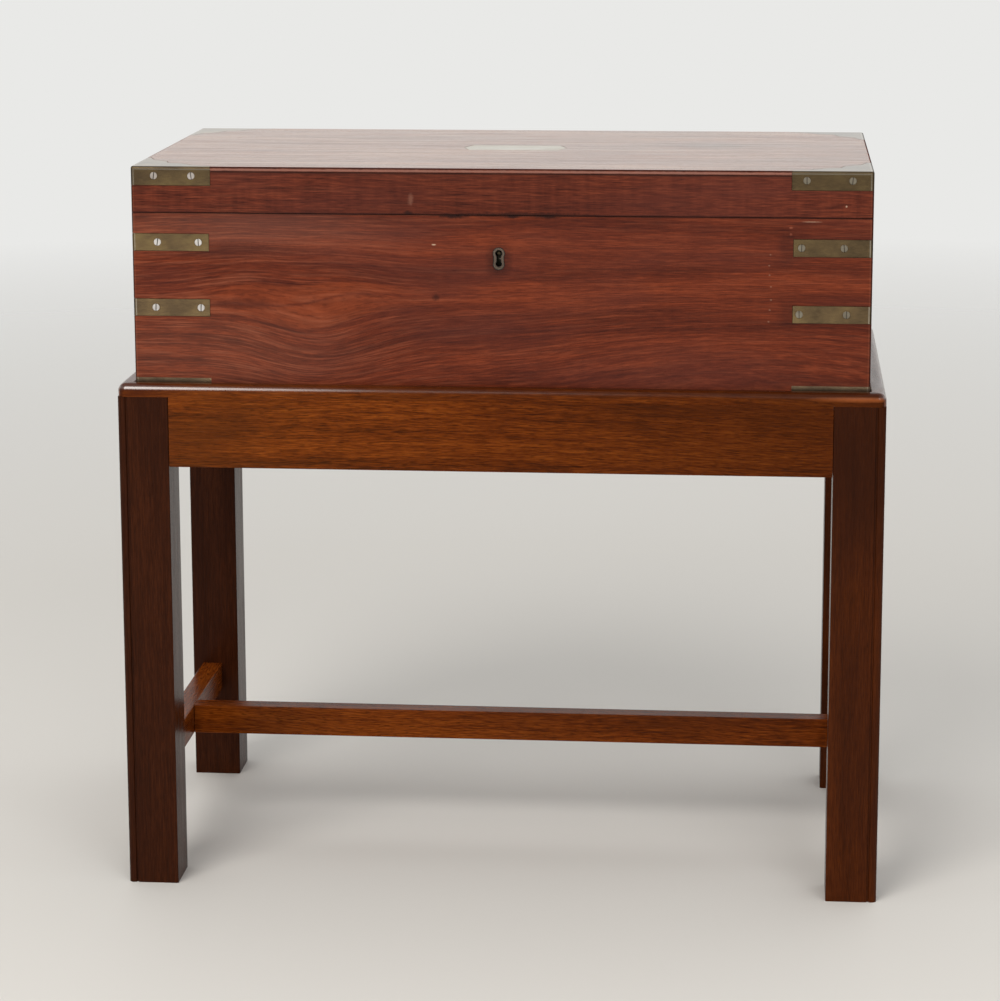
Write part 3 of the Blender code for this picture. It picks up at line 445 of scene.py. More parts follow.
def makeWood(name, look, grain, offset, figure=None, marks=()):
    material, surface, place = newMaterial(name)
    axes = add("SeparateXYZ", {0: place}).outputs
    order = {i: axes["xyz".index(letter)] for i, letter in enumerate(grain)}
    board = add("CombineXYZ", order).outputs[0]
    values = {"Offset": offset, "Wander": look["wander"], "Slant": look["slant"], **(figure or {})}
    seen = placeGroup(woodFigure, board, values)
    tone = 0.0
    for part, share in zip(("Band", "Streak", "Fibre"), look["shares"]):
        tone = addShare(tone, seen[part], share)
    tone = addShare(tone, less(seen["Chatter"], 0.5), look["chatter"])
    if figure:
        tone = addShare(tone, seen["Eye Line"], look["eyeLine"])
    colour = toneRamp(tone, look, (0.5 - look["spread"], 0.5, 0.5 + look["spread"]))
    cloud = span(seen["Cloud"], *woodRange["cloud"])
    colour = tint(cloud, colour, look["tinge"], look["tingeShare"])
    if figure:
        colour = tint(seen["Eye"], colour, look["eye"], look["eyeShare"])
    # pale streaks of the grain, with a painted sheen that fades them from left to right
    pale = look["pale"]
    pale = span(axes[0], *woodRange["sheenFade"], pale, pale * woodRange["sheenRight"])
    colour = tint(seen["Pale"], colour, look["paleTint"], pale)
    colour = tint(seen["Pores"], colour, look["dark"], look["pores"])
    roughLow, roughHigh = look["rough"]
    rough = span(seen["Streak"], *woodRange["streak"], roughHigh, roughLow)
    edges = findArris(place, look["arris"])
    colour = tint(edges["Wear"], colour, look["wear"], look["wearShare"])
    # painted shade on the arrises, with a painted highlight line just inside it
    if look["edge"]:
        colour = tint(edges["Edge"], colour, look["edgeDark"], look["edge"])
        colour = tint(edges["Line"], colour, look["wear"], look["line"])
        rough = addShare(rough, edges["Edge"], look["edgeRough"])
    for mark in marks:
        colour = layMark(board, colour, *mark)
    if "polish" in look:  # a band along the nosing, worn away on the right of the front
        polish = look["polish"]
        kept = span(axes[0], *polish["fade"], 1.0, polish["right"])
        kept = work("MAXIMUM", kept, span(axes[0], *polish["corner"]))
        band = bell(axes[2], polish["height"], polish["width"])
        feed(surface, {
            "Coat Weight": times(band, kept), "Coat Roughness": polish["rough"], "Coat IOR": polish["ior"],
        })
    relief = addShare(seen["Fibre"], seen["Pores"], woodRange["poreDepth"])
    feed(surface, {
        "Base Color": colour, "Roughness": rough, "Specular IOR Level": look["specular"],
        "Normal": bumpOf(relief, look["bump"], woodRange["relief"]),
    })
    return material


metalRange = {
    "stain": (38.0, 38.0, 52.0), "rub": (300.0, 300.0, 900.0), "rubShare": 0.25, "stops": (0.32, 0.5, 0.68),
    "arris": (boxHalfX, boxHalfY, boxTop, 2.2 * mm), "lineShare": 0.6, "edgeRough": 0.4,
    "handled": (boxTop - 0.3 * mm, boxTop - 0.1 * mm), "rough": (0.04, -0.03),
    "bump": 0.02, "relief": 0.2 * mm,
}


def makeBrass(name, look):
    material, surface, place = newMaterial(name)
    stain = stretched(place, metalRange["stain"], 3.0, 0.55)
    rubbed = stretched(place, metalRange["rub"], 2.0, 0.6)
    tone = addShare(stain, less(rubbed, 0.5), metalRange["rubShare"])
    colour = toneRamp(tone, look, metalRange["stops"])
    edges = findArris(place, metalRange["arris"])
    # painted shade on the arrises of the brass, and a painted highlight line just inside it
    colour = tint(edges["Edge"], colour, look["edgeDark"], look["edge"])
    colour = tint(edges["Line"], colour, look["rubbed"], look["edge"] * metalRange["lineShare"])
    # a painted shade mark, where a look has one
    if "grime" in look:
        colour = layMark(place, colour, *look["grime"])
    height = add("SeparateXYZ", {0: place}).outputs[2]
    handled = span(height, *metalRange["handled"], 0.0, -look["topGloss"])
    rough = span(tone, 0.3, 0.7, *(look["rough"] + change for change in metalRange["rough"]))
    rough = addShare(work("ADD", rough, handled), edges["Edge"], look["edge"] * metalRange["edgeRough"])
    feed(surface, {
        "Base Color": colour, "Roughness": rough, "Metallic": look["metal"],
        "Normal": bumpOf(rubbed, metalRange["bump"], metalRange["relief"]),
    })
    return material


leatherLook = like(
    {}, (20, 34, 24), (32, 54, 38), (58, 74, 52), stops=(0.32, 0.55, 0.75), rough=(0.62, 0.46),
    pebbles=900.0, pebbleEdge=0.12, bump=0.35, relief=0.15 * mm,
)


def makeLeather(name, look):
    material, surface, place = newMaterial(name)
    cells = {"Vector": place, "Scale": look["pebbles"]}
    cells = add("TexVoronoi", cells, feature="DISTANCE_TO_EDGE").outputs[0]
    scuffs = stretched(place, (26.0, 26.0, 26.0), 5.0, 0.65)
    feed(surface, {
        "Base Color": toneRamp(scuffs, look, look["stops"]),
        "Roughness": span(scuffs, 0.3, 0.7, *look["rough"]),
        "Normal": bumpOf(span(cells, 0.0, look["pebbleEdge"]), look["bump"], look["relief"]),
    })
    return material


glassLook = {"dark": shade(206, 224, 216), "light": shade(228, 238, 233), "rough": (0.03, 0.10), "ior": 1.5}


def makeGlass(name, look):
    material, surface, place = newMaterial(name)
    smear = stretched(place, (70.0, 70.0, 40.0), 3.0)
    feed(surface, {
        "Base Color": ramp(smear, (0.3, look["dark"]), (0.7, look["light"])),
        "Roughness": span(smear, 0.3, 0.7, *look["rough"]),
        "Transmission Weight": 1.0, "IOR": look["ior"],
    })
    return material


# Eye on the left of the case front, and an arch low on its right
frontFigure = {
    "Eye Place": (-122 * mm, 420.3 * mm, -boxHalfY), "Eye Strength": 1.0,
    "Arch Place": (190 * mm, 350 * mm, -boxHalfY), "Arch Length": 170 * mm, "Arch Height": 58 * mm,
    "Arch Strength": 0.85,
}

# Marks: stains and flecks, and painted light and shade
# dark for real stains, and for painted shade in the saw cut and round the keyhole plate
darkStainAndShade = shade(30, 14, 12)
redStain = shade(58, 22, 16)
paleFleck = shade(206, 178, 150)
warmFleck = shade(186, 110, 84)
# painted sheen: a greyish veil added over the left of the case front
paintedSheen = shade(52, 42, 36)
# painted shade for the ends of the rim
rimEndShade = shade(36, 18, 14)
cutFront = sawFront / mm
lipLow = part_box("lid_front")[1].z / mm
rimTop = rimHigh / mm
rimMiddle = (rimTop + rimLow / mm) / 2


def markAt(place, spread, colour, strength, ragged=0.6, kind="MIX"):  # along, across, through the board
    return {"Place": place, "Spread": spread, "Ragged": ragged}, colour, strength, kind


def onFront(x, z, wide, tall, *rest):
    return markAt((x * mm, z * mm, -boxHalfY), (wide * mm, tall * mm, 30 * mm), *rest)


def roundAt(z, tall, *rest):  # a line round all four sides
    return markAt((0, z * mm, 0), (9, tall * mm, 9), *rest)


# painted shade along the saw cut between case and lid
splitShade = onFront(0, cutFront, 900, 1.2, darkStainAndShade, 0.6, 0.3)
lipJoint = roundAt(lipLow, 1.1, shade(52, 27, 21), 0.7, 0.3)
frontMarks = [
    # painted sheen, low and high on the left of the case front
    onFront(-200, 383, 130, 42, paintedSheen, 0.5, 0.0, "ADD"),
    onFront(-190, 468, 150, 20, paintedSheen, 0.7, 0.0, "ADD"),
    onFront(-190, 455, 75, 7, redStain, 0.5, 0.5),
    onFront(-176, 417.5, 30, 5, redStain, 0.45, 0.5),
    onFront(-43.2, 423.2, 3.4, 3.0, darkStainAndShade, 0.6),
    onFront(-44.6, 459.6, 1.7, 0.7, paleFleck, 0.8),
    onFront(212.6, 477.6, 8, 0.5, paleFleck, 0.3),
    onFront(198.5, 473.5, 1.6, 0.9, warmFleck, 0.35),
    onFront(198.5, 469.0, 1.2, 1.1, warmFleck, 0.28),
    onFront(197, 459, 9, 14, darkStainAndShade, 0.35, 0.5),
    onFront(197, 414, 8, 12, darkStainAndShade, 0.35, 0.5),
    splitShade,
    # patches of painted shade in the saw cut
    onFront(-30.7, cutFront - 0.6, 12, 2.2, darkStainAndShade, 0.85, 0.9),
    onFront(9.3, cutFront - 0.6, 6, 1.9, darkStainAndShade, 0.85, 0.9),
    onFront(34, cutFront - 0.4, 11, 2.0, darkStainAndShade, 0.85, 0.9),
    # painted shadow round the keyhole plate
    onFront(0, 450, 11, 15, darkStainAndShade, 0.6, 0.4),
]
for number, z in enumerate((455, 447.5, 441, 433, 424, 417, 409)):
    frontMarks.append(onFront(185 + 0.8 * math.sin(5 * number), z, 0.9, 0.7, paleFleck, 0.15))
lidMarks = [
    onFront(0, 496, 150, 60, shade(56, 22, 14), 0.22, 0.0),
    onFront(-60.4, 490.5, 2.6, 5.0, shade(140, 96, 78), 0.4, 0.9),
    onFront(235.6, 488.2, 0.7, 0.8, paleFleck, 0.6),
    # patches of painted shade in the saw cut
    onFront(-62, cutFront + 1.2, 4, 2.0, darkStainAndShade, 0.8, 0.9),
    onFront(20, cutFront + 1.0, 46, 1.8, darkStainAndShade, 0.6, 1.6),
    splitShade,
    lipJoint,
]
# a pale line round the lid just under its top is a painted highlight on the rounded arris; the joint below it
# is dark
lipMarks = [roundAt(boxTop / mm - 2.0, 1.1, shade(156, 112, 98), 0.6, 0.9), lipJoint]
topMarks = [
    markAt((146 * mm, 25 * mm, boxTop), (34 * mm, 26 * mm, 60 * mm), shade(96, 92, 86), 0.32, 1.4),
    markAt((-60 * mm, -40 * mm, boxTop), (110 * mm, 40 * mm, 60 * mm), shade(190, 150, 120), 0.2, 1.4),
]
# painted shade towards the right of the front apron and rim, and painted light towards their left
apronLightAndShade = [
    onFront(330, 325, 440, 400, shade(50, 19, 2), 0.6, 0.0),
    onFront(-240, 325, 240, 300, shade(40, 24, 8), 0.6, 0.0, "ADD"),
]
# painted shade and painted reflection on the rim's top, under the box
rimTopShade = markAt((0, rimHigh, -boxHalfY), (9, 5.5 * mm, 9), shade(52, 19, 8), 0.6, 0.1)
rimLightAndShade = [
    rimTopShade,
    *apronLightAndShade,
    # painted shade on the rim's left end, over the leg
    onFront(-252, rimMiddle - 1, 44, 11, shade(58, 21, 8), 0.7, 0.2),
    # painted shade at both ends of the rim
    onFront(-265, rimMiddle, 5, 20, rimEndShade, 0.75, 0.2),
    onFront(265, rimMiddle, 4, 20, rimEndShade, 0.75, 0.2),
    # painted highlight: an orange glow along the nosing at the right
    onFront(247, rimMiddle + 0.3, 42, 2.3, shade(128, 70, 36), 0.85, 0.2, "ADD"),
]
# painted shade at the head of the front right leg, under the rim
legTopShade = [
    markAt((345 * mm, standHalfX, -standHalfY), (120 * mm, 90 * mm, 120 * mm), shade(36, 14, 5), 0.5, 0.0),
]

# Boards: finish, the axes along, across and through, where the grain is cut from, figure and marks
wood = {
    name: makeWood(name, *facts) for name, facts in {
        "boxCaseFront": (boxWood, "xzy", (0.31, 0.0, 0.0), frontFigure, frontMarks),
        "boxCaseBack": (boxWood, "xzy", (2.3, 0.4, 0.2)),
        "boxCaseEnd": (boxWood, "yzx", (5.1, 0.2, 0.3)),
        "boxLidFront": (lidWood, "xzy", (7.7, 0.1, 0.0), None, lidMarks),
        "boxLidBack": (lidWood, "xzy", (9.2, 0.3, 0.1)),
        "boxLidEnd": (lidWood, "yzx", (4.4, 0.7, 0.0)),
        "boxLidTop": (topWood, "xyz", (1.7, 0.6, 0.4), None, topMarks),
        "boxLidLip": (lidWood, "xzy", (3.7, 0.2, 0.1), None, lipMarks),
        "standAlong": (standWood, "xzy", (3.1, 0.2, 0.1), None, apronLightAndShade),
        "rimAlong": (rimWood, "xzy", (4.1, 0.3, 0.2), None, rimLightAndShade),
        "rimAcross": (rimSideWood, "yzx", (5.3, 0.5, 0.1), None, [rimTopShade]),
        "standAcross": (standWood, "yzx", (6.3, 0.8, 0.5)),
        "standLegLeft": (legWood, "zxy", (2.2, 0.3, 0.9)),
        "standLegRight": (warmLegWood, "zxy", (4.2, 0.1, 0.5), None, legTopShade),
        "liningAlong": (liningWood, "xzy", (8.1, 0.5, 0.3)),
        "liningAcross": (liningWood, "yzx", (1.1, 0.9, 0.6)),
        "liningFlat": (liningWood, "xyz", (5.6, 0.3, 0.8)),
    }.items()
}

# Finishes of the metals
agedBrass = like(
    {}, (114, 96, 74), (138, 117, 86), (158, 136, 96), rough=0.18, topGloss=0.1, metal=1.0,
    # the edge colour is painted shade on the arrises, and the rubbed colour a painted highlight line beside
    # it
    edge=0.85, edgeDark=shade(34, 28, 24), rubbed=shade(214, 206, 190),
)
silverScrew = like(
    {}, (192, 186, 181), (208, 203, 198), (224, 220, 215), rough=0.3, topGloss=0.0, metal=0.45,
    edge=0.0, edgeDark=shade(40, 36, 32), rubbed=shade(224, 220, 215),
)
slotDirt = like(silverScrew, (56, 48, 40), (70, 62, 52), (88, 80, 68), rough=0.6, metal=0.2)
# painted shade on the lock's front, seen through the keyhole
keyholeShade = markAt(
    (0, 8 * mm - boxHalfY, 449.5 * mm), (8 * mm, 20 * mm, 14 * mm), shade(46, 45, 38), 1.0, 0.2
)
metal = {
    name: makeBrass(name, look) for name, look in {
        "dullBrass": agedBrass,
        # a darker copy of the brass for the straps on the right: painted shade
        "shadedBrass": like(agedBrass, (99, 84, 64), (121, 102, 75), (138, 118, 84)),
        "footBrass": like(agedBrass, (104, 88, 72), (128, 110, 88), (148, 128, 100), rough=0.3, edge=0.4),
        "keyRimBrass": like(agedBrass, (102, 90, 79), (122, 108, 95), (140, 126, 111), rough=0.3, edge=0.0),
        "plateBrass": like(agedBrass, (190, 178, 160), (202, 192, 173), (211, 203, 186), rough=0.3),
        "lockBrass": like(agedBrass, rough=0.3, grime=keyholeShade),
        # lit, paler copies of the screw finish for the screws on the left: painted light
        "litScrew": silverScrew,
        "litPaleScrew": like(silverScrew, (166, 156, 148), (184, 175, 167), (202, 194, 187)),
        "dullScrew": like(silverScrew, (106, 98, 84), (124, 116, 100), (140, 133, 118), rough=0.38),
        "slotGrime": slotDirt,
        # dark for the keyhole plate's edges: dirt and painted shade
        "plateDirtAndShade": like(slotDirt, (48, 38, 31), (58, 46, 38), (68, 55, 46), metal=0.0),
        "darkSteel": like(silverScrew, (92, 90, 86), (122, 120, 115), (150, 148, 142), rough=0.36, metal=1.0),
        "giltLine": like(agedBrass, (96, 78, 40), (168, 132, 66), (206, 170, 96), rough=0.32, edge=0.0),
    }.items()
}
deskLeather = makeLeather("deskLeather", leatherLook)
bottleGlass = makeGlass("bottleGlass", glassLook)
print("finishes made,", len(bpy.data.materials), "materials")


# Floor and world

stageLook = {"radius": 9.0, "floor": shade(214, 211, 206), "rough": 0.7, "solid": 0.9, "gone": 3.4}


def makeFloor(look):
    bpy.ops.mesh.primitive_circle_add(vertices=96, radius=look["radius"], fill_type="NGON")
    floor = bpy.context.object
    floor.name = "paleFloor"
    material, surface, place = newMaterial("paleFloor")
    far = add("VectorMath", {0: place}, operation="LENGTH").outputs["Value"]
    fading = span(far, look["solid"], look["gone"], 1.0, 0.0)
    mirrored = surface.id_data.nodes.new("ShaderNodeLightPath").outputs["Is Glossy Ray"]
    feed(surface, {
        "Base Color": look["floor"], "Roughness": look["rough"], "Alpha": work("MAXIMUM", fading, mirrored),
    })
    floor.data.materials.append(material)


worldLook = {
    "backdrop": shade(233, 233, 231), "light": 0.58, "front": 0.25,
    "behind": 1.0, "behindSpan": (-0.5, 0.3), "overFront": 0.8, "overSpan": (0.05, 0.3),
}


def makeWorld(look):
    world = bpy.data.worlds.new("studio")
    world.use_nodes = True
    made = world.node_tree.nodes
    rays = made.new("ShaderNodeLightPath").outputs
    facing = add("SeparateXYZ", {0: made.new("ShaderNodeTexCoord").outputs["Generated"]}).outputs
    behind = span(facing[1], *look["behindSpan"], look["front"], look["behind"])
    over = span(facing[2], *look["overSpan"], look["front"], look["overFront"])
    mirrored = work("MAXIMUM", behind, over)
    seen = times(rays["Is Glossy Ray"], mirrored)
    shown = work("MAXIMUM", rays["Is Camera Ray"], rays["Is Transmission Ray"])
    unseen = less(1.0, work("MAXIMUM", shown, rays["Is Glossy Ray"]))
    strength = addShare(work("MAXIMUM", shown, seen), unseen, look["light"])
    feed(made["Background"], {"Color": look["backdrop"], "Strength": strength})
    scene.world = world


placeCamera(cameraView)
hangLamps()
makeFloor(stageLook)
makeWorld(worldLook)
scene.view_settings.view_transform = "Standard"
print("stage set")


# Working on meshes

def pick(*pieces):
    bpy.ops.object.select_all(action="DESELECT")
    for piece in pieces:
        piece.select_set(True)
    bpy.context.view_layer.objects.active = pieces[0]


def openEdit():
    bpy.ops.object.mode_set(mode="EDIT")


def endEdit():
    bpy.ops.object.mode_set(mode="OBJECT")


def startEdit(piece, kind):
    pick(piece)
    openEdit()
    bpy.ops.mesh.select_mode(type=kind)
    bpy.ops.mesh.select_all(action="DESELECT")
    endEdit()


def everywhere(*chosen):
    return True


def above(height):
    return lambda first, last: min(first.z, last.z) > height - slack


def below(height):
    return lambda first, last: max(first.z, last.z) < height + slack


def turnedTo(square, least=0.999):
    return lambda centre, normal: normal.dot(square) > least


def longerThan(length):
    return lambda first, last: (first - last).length > length


def isUpright(first, last):
    return (first - last).xy.length < slack


def chooseEdges(piece, test, among=None):  # leaves edit mode on, with these edges selected
    startEdit(piece, "EDGE")
    mesh = piece.data
    for edge in mesh.edges:
        first, last = (mesh.vertices[i].co for i in edge.vertices)
        edge.select = (among is None or edge.key in among) and bool(test(first, last))
    openEdit()


def chooseFaces(piece, test):  # leaves edit mode on, with these faces selected
    startEdit(piece, "FACE")
    for face in piece.data.polygons:
        face.select = bool(test(face.center, face.normal))
    openEdit()


def shiftFaces(piece, push, test=everywhere):
    chooseFaces(piece, test)
    bpy.ops.transform.translate(value=push)
    endEdit()


def bevelEdges(piece, width, segments, test, among=None):
    chooseEdges(piece, test, among)
    bpy.ops.mesh.bevel(offset=width, segments=segments, profile=0.5, affect="EDGES", clamp_overlap=True)
    endEdit()


def sharpEnds(mesh, least=30):  # ends of the arrises that stand out
    meeting = {}
    for face in mesh.polygons:
        for key in face.edge_keys:
            meeting.setdefault(key, []).append(face)
    found = set()
    for key, pair in meeting.items():
        if len(pair) == 2 and pair[0].normal.angle(pair[1].normal, 0.0) > math.radians(least):
            if (pair[1].center - pair[0].center).dot(pair[0].normal) < 0:
                found.add(key)
    return found


def easeArrises(piece, width, segments=2, test=everywhere):
    bevelEdges(piece, width, segments, test, sharpEnds(piece.data))


def insetBy(width, depth=0.0):
    bpy.ops.mesh.inset(thickness=width, depth=depth, use_boundary=True, use_even_offset=True)


def sinkLine(slope, floor, depth):
    insetBy(slope, -depth)
    insetBy(floor)
    insetBy(slope, depth)


def addBlock(name, low, high):
    low, high = Vector(low), Vector(high)
    bpy.ops.object.select_all(action="DESELECT")
    bpy.ops.mesh.primitive_cube_add(size=1, location=(low + high) / 2)
    block = bpy.context.object
    block.name = name
    block.scale = high - low
    bpy.ops.object.transform_apply(location=True, rotation=True, scale=True)
    return block


def addDrum(name, centre, radius, length, sidesRound=48, turn=(0, 0, 0)):
    bpy.ops.object.select_all(action="DESELECT")
    bpy.ops.mesh.primitive_cylinder_add(
        vertices=sidesRound, radius=radius, depth=length, location=centre, rotation=turn
    )
    drum = bpy.context.object
    drum.name = name
    bpy.ops.object.transform_apply(location=True, rotation=True, scale=True)
    return drum


def standingDrum(name, middle, low, high, radius):
    return addDrum(name, (middle.x, middle.y, (low + high) / 2), radius, high - low, 64)


def copyOf(source, name):
    piece = bpy.data.objects.new(name, source.data.copy())
    scene.collection.objects.link(piece)
    return piece


def copyNode(node, name):
    piece = copyOf(nodes[node], name)
    piece.data.materials.clear()
    pick(piece)
    openEdit()
    bpy.ops.mesh.select_all(action="SELECT")
    bpy.ops.mesh.customdata_custom_splitnormals_clear()
    bpy.ops.mesh.remove_doubles(threshold=0.005 * mm)
    bpy.ops.mesh.dissolve_limited(angle_limit=math.radians(1))
    endEdit()
    return piece


def combine(piece, tool, operation="DIFFERENCE", keep=False):
    pick(piece)
    change = piece.modifiers.new("shape", "BOOLEAN")
    change.operation = operation
    change.object = tool
    change.solver = "EXACT"
    bpy.ops.object.modifier_apply(modifier=change.name)
    if not keep:
        bpy.data.objects.remove(tool)


def joinAll(pieces, name):
    pick(*pieces)
    bpy.ops.object.join()
    pieces[0].name = name
    return pieces[0]


def smooth(piece, angle=35):
    pick(piece)
    bpy.ops.object.shade_smooth_by_angle(angle=math.radians(angle), keep_sharp_edges=False)
    even = piece.modifiers.new("even", "WEIGHTED_NORMAL")
    even.keep_sharp = True
    bpy.ops.object.modifier_apply(modifier=even.name)


def splitFinish(piece, materials, *tests):  # the faces that pass a test get the next finish
    piece.data.materials.clear()
    for material in materials:
        piece.data.materials.append(material)
    for face in piece.data.polygons:
        passed = [number for number, test in enumerate(tests, 1) if test(face.center, face.normal)]
        face.material_index = passed[0] if passed else 0


def finishPiece(piece, body, slot, material, *replaced):
    smooth(piece)
    if material:
        piece.data.materials.clear()
        piece.data.materials.append(material)
    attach(piece, body)
    if replaced:
        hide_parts(*replaced)


# Box: boards and brass share one blank whose corners are rounded

boxShape = inMm(
    corner=1.6, arris=1.4, foot=0.8, easing=0.25, seam=0.3,
    mitrePush=0.2, sawPush=0.2, frontSawPush=0.05, offMitre=0.2, long=20,
)
strapShape = {"bottomDrop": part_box("lower_strap_front_left")[0].z - boxBase}


def roundedBlank(look):
    blank = addBlock("roundedBlank", (-boxHalfX, -boxHalfY, boxBase), (boxHalfX, boxHalfY, boxTop))
    bevelEdges(blank, look["corner"], 5, isUpright)
    bevelEdges(blank, look["arris"], 4, above(boxTop))
    bevelEdges(blank, look["foot"], 2, below(boxBase))
    return blank


def closeMitres(piece, side):
    out, along = sides[side]
    for end in (-1, 1):
        square = (along * end - out).normalized()
        push = along * end * boxShape["mitrePush"]
        shiftFaces(piece, push, turnedTo(square, 0.99))


def closeSaw(piece, up, push):
    square = sawSquare * up

    def onCut(centre, normal):
        return turnedTo(square)(centre, normal) and abs(centre.z - sawHeight(centre.y)) < sawGap

    shiftFaces(piece, square * push, onCut)


def onSaw(first, last):
    ends = (first, last)
    onCut = all(abs(p.z - sawHeight(p.y)) < sawGap for p in ends)
    offMitre = all(abs(boxHalfX - abs(p.x) - boxHalfY + abs(p.y)) > boxShape["offMitre"] for p in ends)
    return onCut and (offMitre or (first - last).length > boxShape["long"])


def onTop(point):  # inside the rounded arris of the lid
    inset = boxShape["arris"] + 0.05 * mm
    return abs(point.x) < boxHalfX - inset and abs(point.y) < boxHalfY - inset


def openSeams(piece, *materials):  # a dirty groove where brass and wood meet on the lid's top
    seam = boxShape["seam"]
    bevelEdges(piece, seam, 1, lambda a, b: (onTop(a) or onTop(b)) and above(boxTop)(a, b))
    splitFinish(
        piece, materials,
        lambda centre, normal: onTop(centre) and 0.2 < normal.z < 0.9 and centre.z > boxTop - seam,
        lambda centre, normal: len(materials) > 2 and not onTop(centre) and centre.z < boxTop - slack,
    )


def bottomStrap(deep, end, name):
    piece = copyNode(f"lower_strap_{deep}_{end}", name)
    shiftFaces(piece, (0, 0, -strapShape["bottomDrop"]))
    return piece


blank = roundedBlank(boxShape)
for part, body in (("case", "desk_case"), ("lid", "lid")):
    for side in sides:
        node = f"{part}_{side}"
        board = copyNode(node, node + "_board")
        closeMitres(board, side)
        push = boxShape["frontSawPush" if side == "front" else "sawPush"]
        closeSaw(board, 1 if part == "case" else -1, push)
        easeArrises(board, boxShape["easing"], 2, onSaw)
        for deep, end, sy, sx in corners:
            if part == "case" and side in (deep, end):
                combine(board, bottomStrap(deep, end, "pocket"))
        combine(board, blank, "INTERSECT", True)
        cut = {"front": "Front", "back": "Back"}.get(side, "End")
        finishPiece(board, body, "box_wood", wood[f"box{part.title()}{cut}"], node)
top = copyNode("lid_top", "lid_top_board")
combine(top, blank, "INTERSECT", True)
openSeams(top, wood["boxLidTop"], metal["slotGrime"], wood["boxLidLip"])
finishPiece(top, "lid", "box_wood", None, "lid_top")
print("box boards done")


# Screws: one slotted head, copied to every brass arm, and smaller to the hinges and lock

screwShape = {
    **inMm(
        radius=2.45, depth=1.2, rim=0.15, slot=0.65, slotDepth=0.6, ring=0.14, flush=0.02,
        recess=2.4, sunk=1.0, leafReach=5.85, lock=27.3, link=26.0,
    ),
    "sidesRound": 28, "small": 0.6, "leaf": (-15.0, 0.0, 15.0),
    # distances from the corner, along the arm
    "lid_corner": ((16.0, 42.0), (14.4, 45.2)),
    "upper_strap": ((17.7, 46.2), (19.4, 48.1)),
    "lower_strap": ((15.7, 47.3), (17.1, 49.1)),
    "bottom_strap": ((16.5, 46.0), (16.0, 47.0)),
    # turns of the slots, in degrees
    "lean": 8, "leafLean": 20, "lockLean": 30, "linkLean": -25,
}


def modelScrew(look):
    head = addDrum("screwHead", (0, 0, -look["depth"] / 2), look["radius"], look["depth"], look["sidesRound"])
    bevelEdges(head, look["rim"], 2, above(0))
    half = look["slot"] / 2
    long = look["radius"] * 1.5
    combine(head, addBlock("slot", (-long, -half, -look["slotDepth"]), (long, half, look["depth"])))
    deep = -look["slotDepth"] * 1.1
    splitFinish(
        head, (metal["litScrew"], metal["slotGrime"]),
        lambda centre, normal: abs(centre.y) < half * 1.1 and deep < centre.z < -look["rim"],
    )
    return head


def bodyOf(band, deep):  # the saw cut runs below the upper straps at the back
    return "lid" if band == "lid_corner" or (band == "upper_strap" and deep == "back") else "desk_case"


def screwPlaces(look):  # spot, way out, turn of the slot, body, kind and scale
    for deep, end, sy, sx in corners:
        corner = Vector((sx * boxHalfX, sy * boxHalfY, 0))
        for band in ("lid_corner", "upper_strap", "lower_strap", "bottom_strap"):
            low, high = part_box(f"{band.replace('bottom', 'lower')}_{deep}_{end}")
            middle = (low.z + high.z) / 2
            if band == "bottom_strap":
                middle -= strapShape["bottomDrop"]
            for side, along in ((deep, Vector((-sx, 0, 0))), (end, Vector((0, -sy, 0)))):
                for number, reach in enumerate(look[band][end == "right"]):
                    spot = corner + along * reach * mm + Vector((0, 0, middle))
                    lean = look["lean"] * math.sin(37 * reach + 3 * number + sx + 2 * sy)
                    yield spot, sides[side][0], lean, bodyOf(band, deep), end, 1.0


def smallScrewPlaces(look):
    down = Vector((0, math.cos(sawSlope), -math.sin(sawSlope)))  # along the saw cut, to the back
    last = "small", look["small"]
    for end in ("left", "right"):
        low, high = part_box(f"hinge_{end}_pin")
        for body, up in (("desk_case", 1), ("lid", -1)):
            for reach in look["leaf"]:
                spot = (low + high) / 2 + Vector((reach * mm, 0, 0)) - down * look["leafReach"]
                lean = look["leafLean"] * math.sin(reach + up)
                yield spot - sawSquare * up * sawGap / 2, sawSquare * up, lean, body, *last
    low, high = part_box("lock_case")
    boltLow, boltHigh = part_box("lock_bolt")
    stapleY = (boltLow.y + boltHigh.y) / 2
    for sx in (-1, 1):
        spot = Vector((sx * look["lock"], (low.y + high.y) / 2, high.z))
        yield spot, Vector((0, 0, 1)), look["lockLean"] * sx, "desk_case", *last
        spot = Vector((sx * look["link"], stapleY, sawHeight(stapleY))) + sawSquare * sawGap / 2
        yield spot, -sawSquare, look["linkLean"] * sx, "lid", *last


def standOn(spot, out, lean, scale):
    upward = Vector((0, 1, 0)) if abs(out.z) > 0.7 else Vector((0, 0, 1))
    side = upward.cross(out).normalized()
    turn = Matrix((out.cross(side), -side, out)).transposed() @ Matrix.Rotation(math.radians(lean), 3, "Z")
    return Matrix.Translation(spot) @ turn.to_4x4() @ Matrix.Scale(scale, 4)


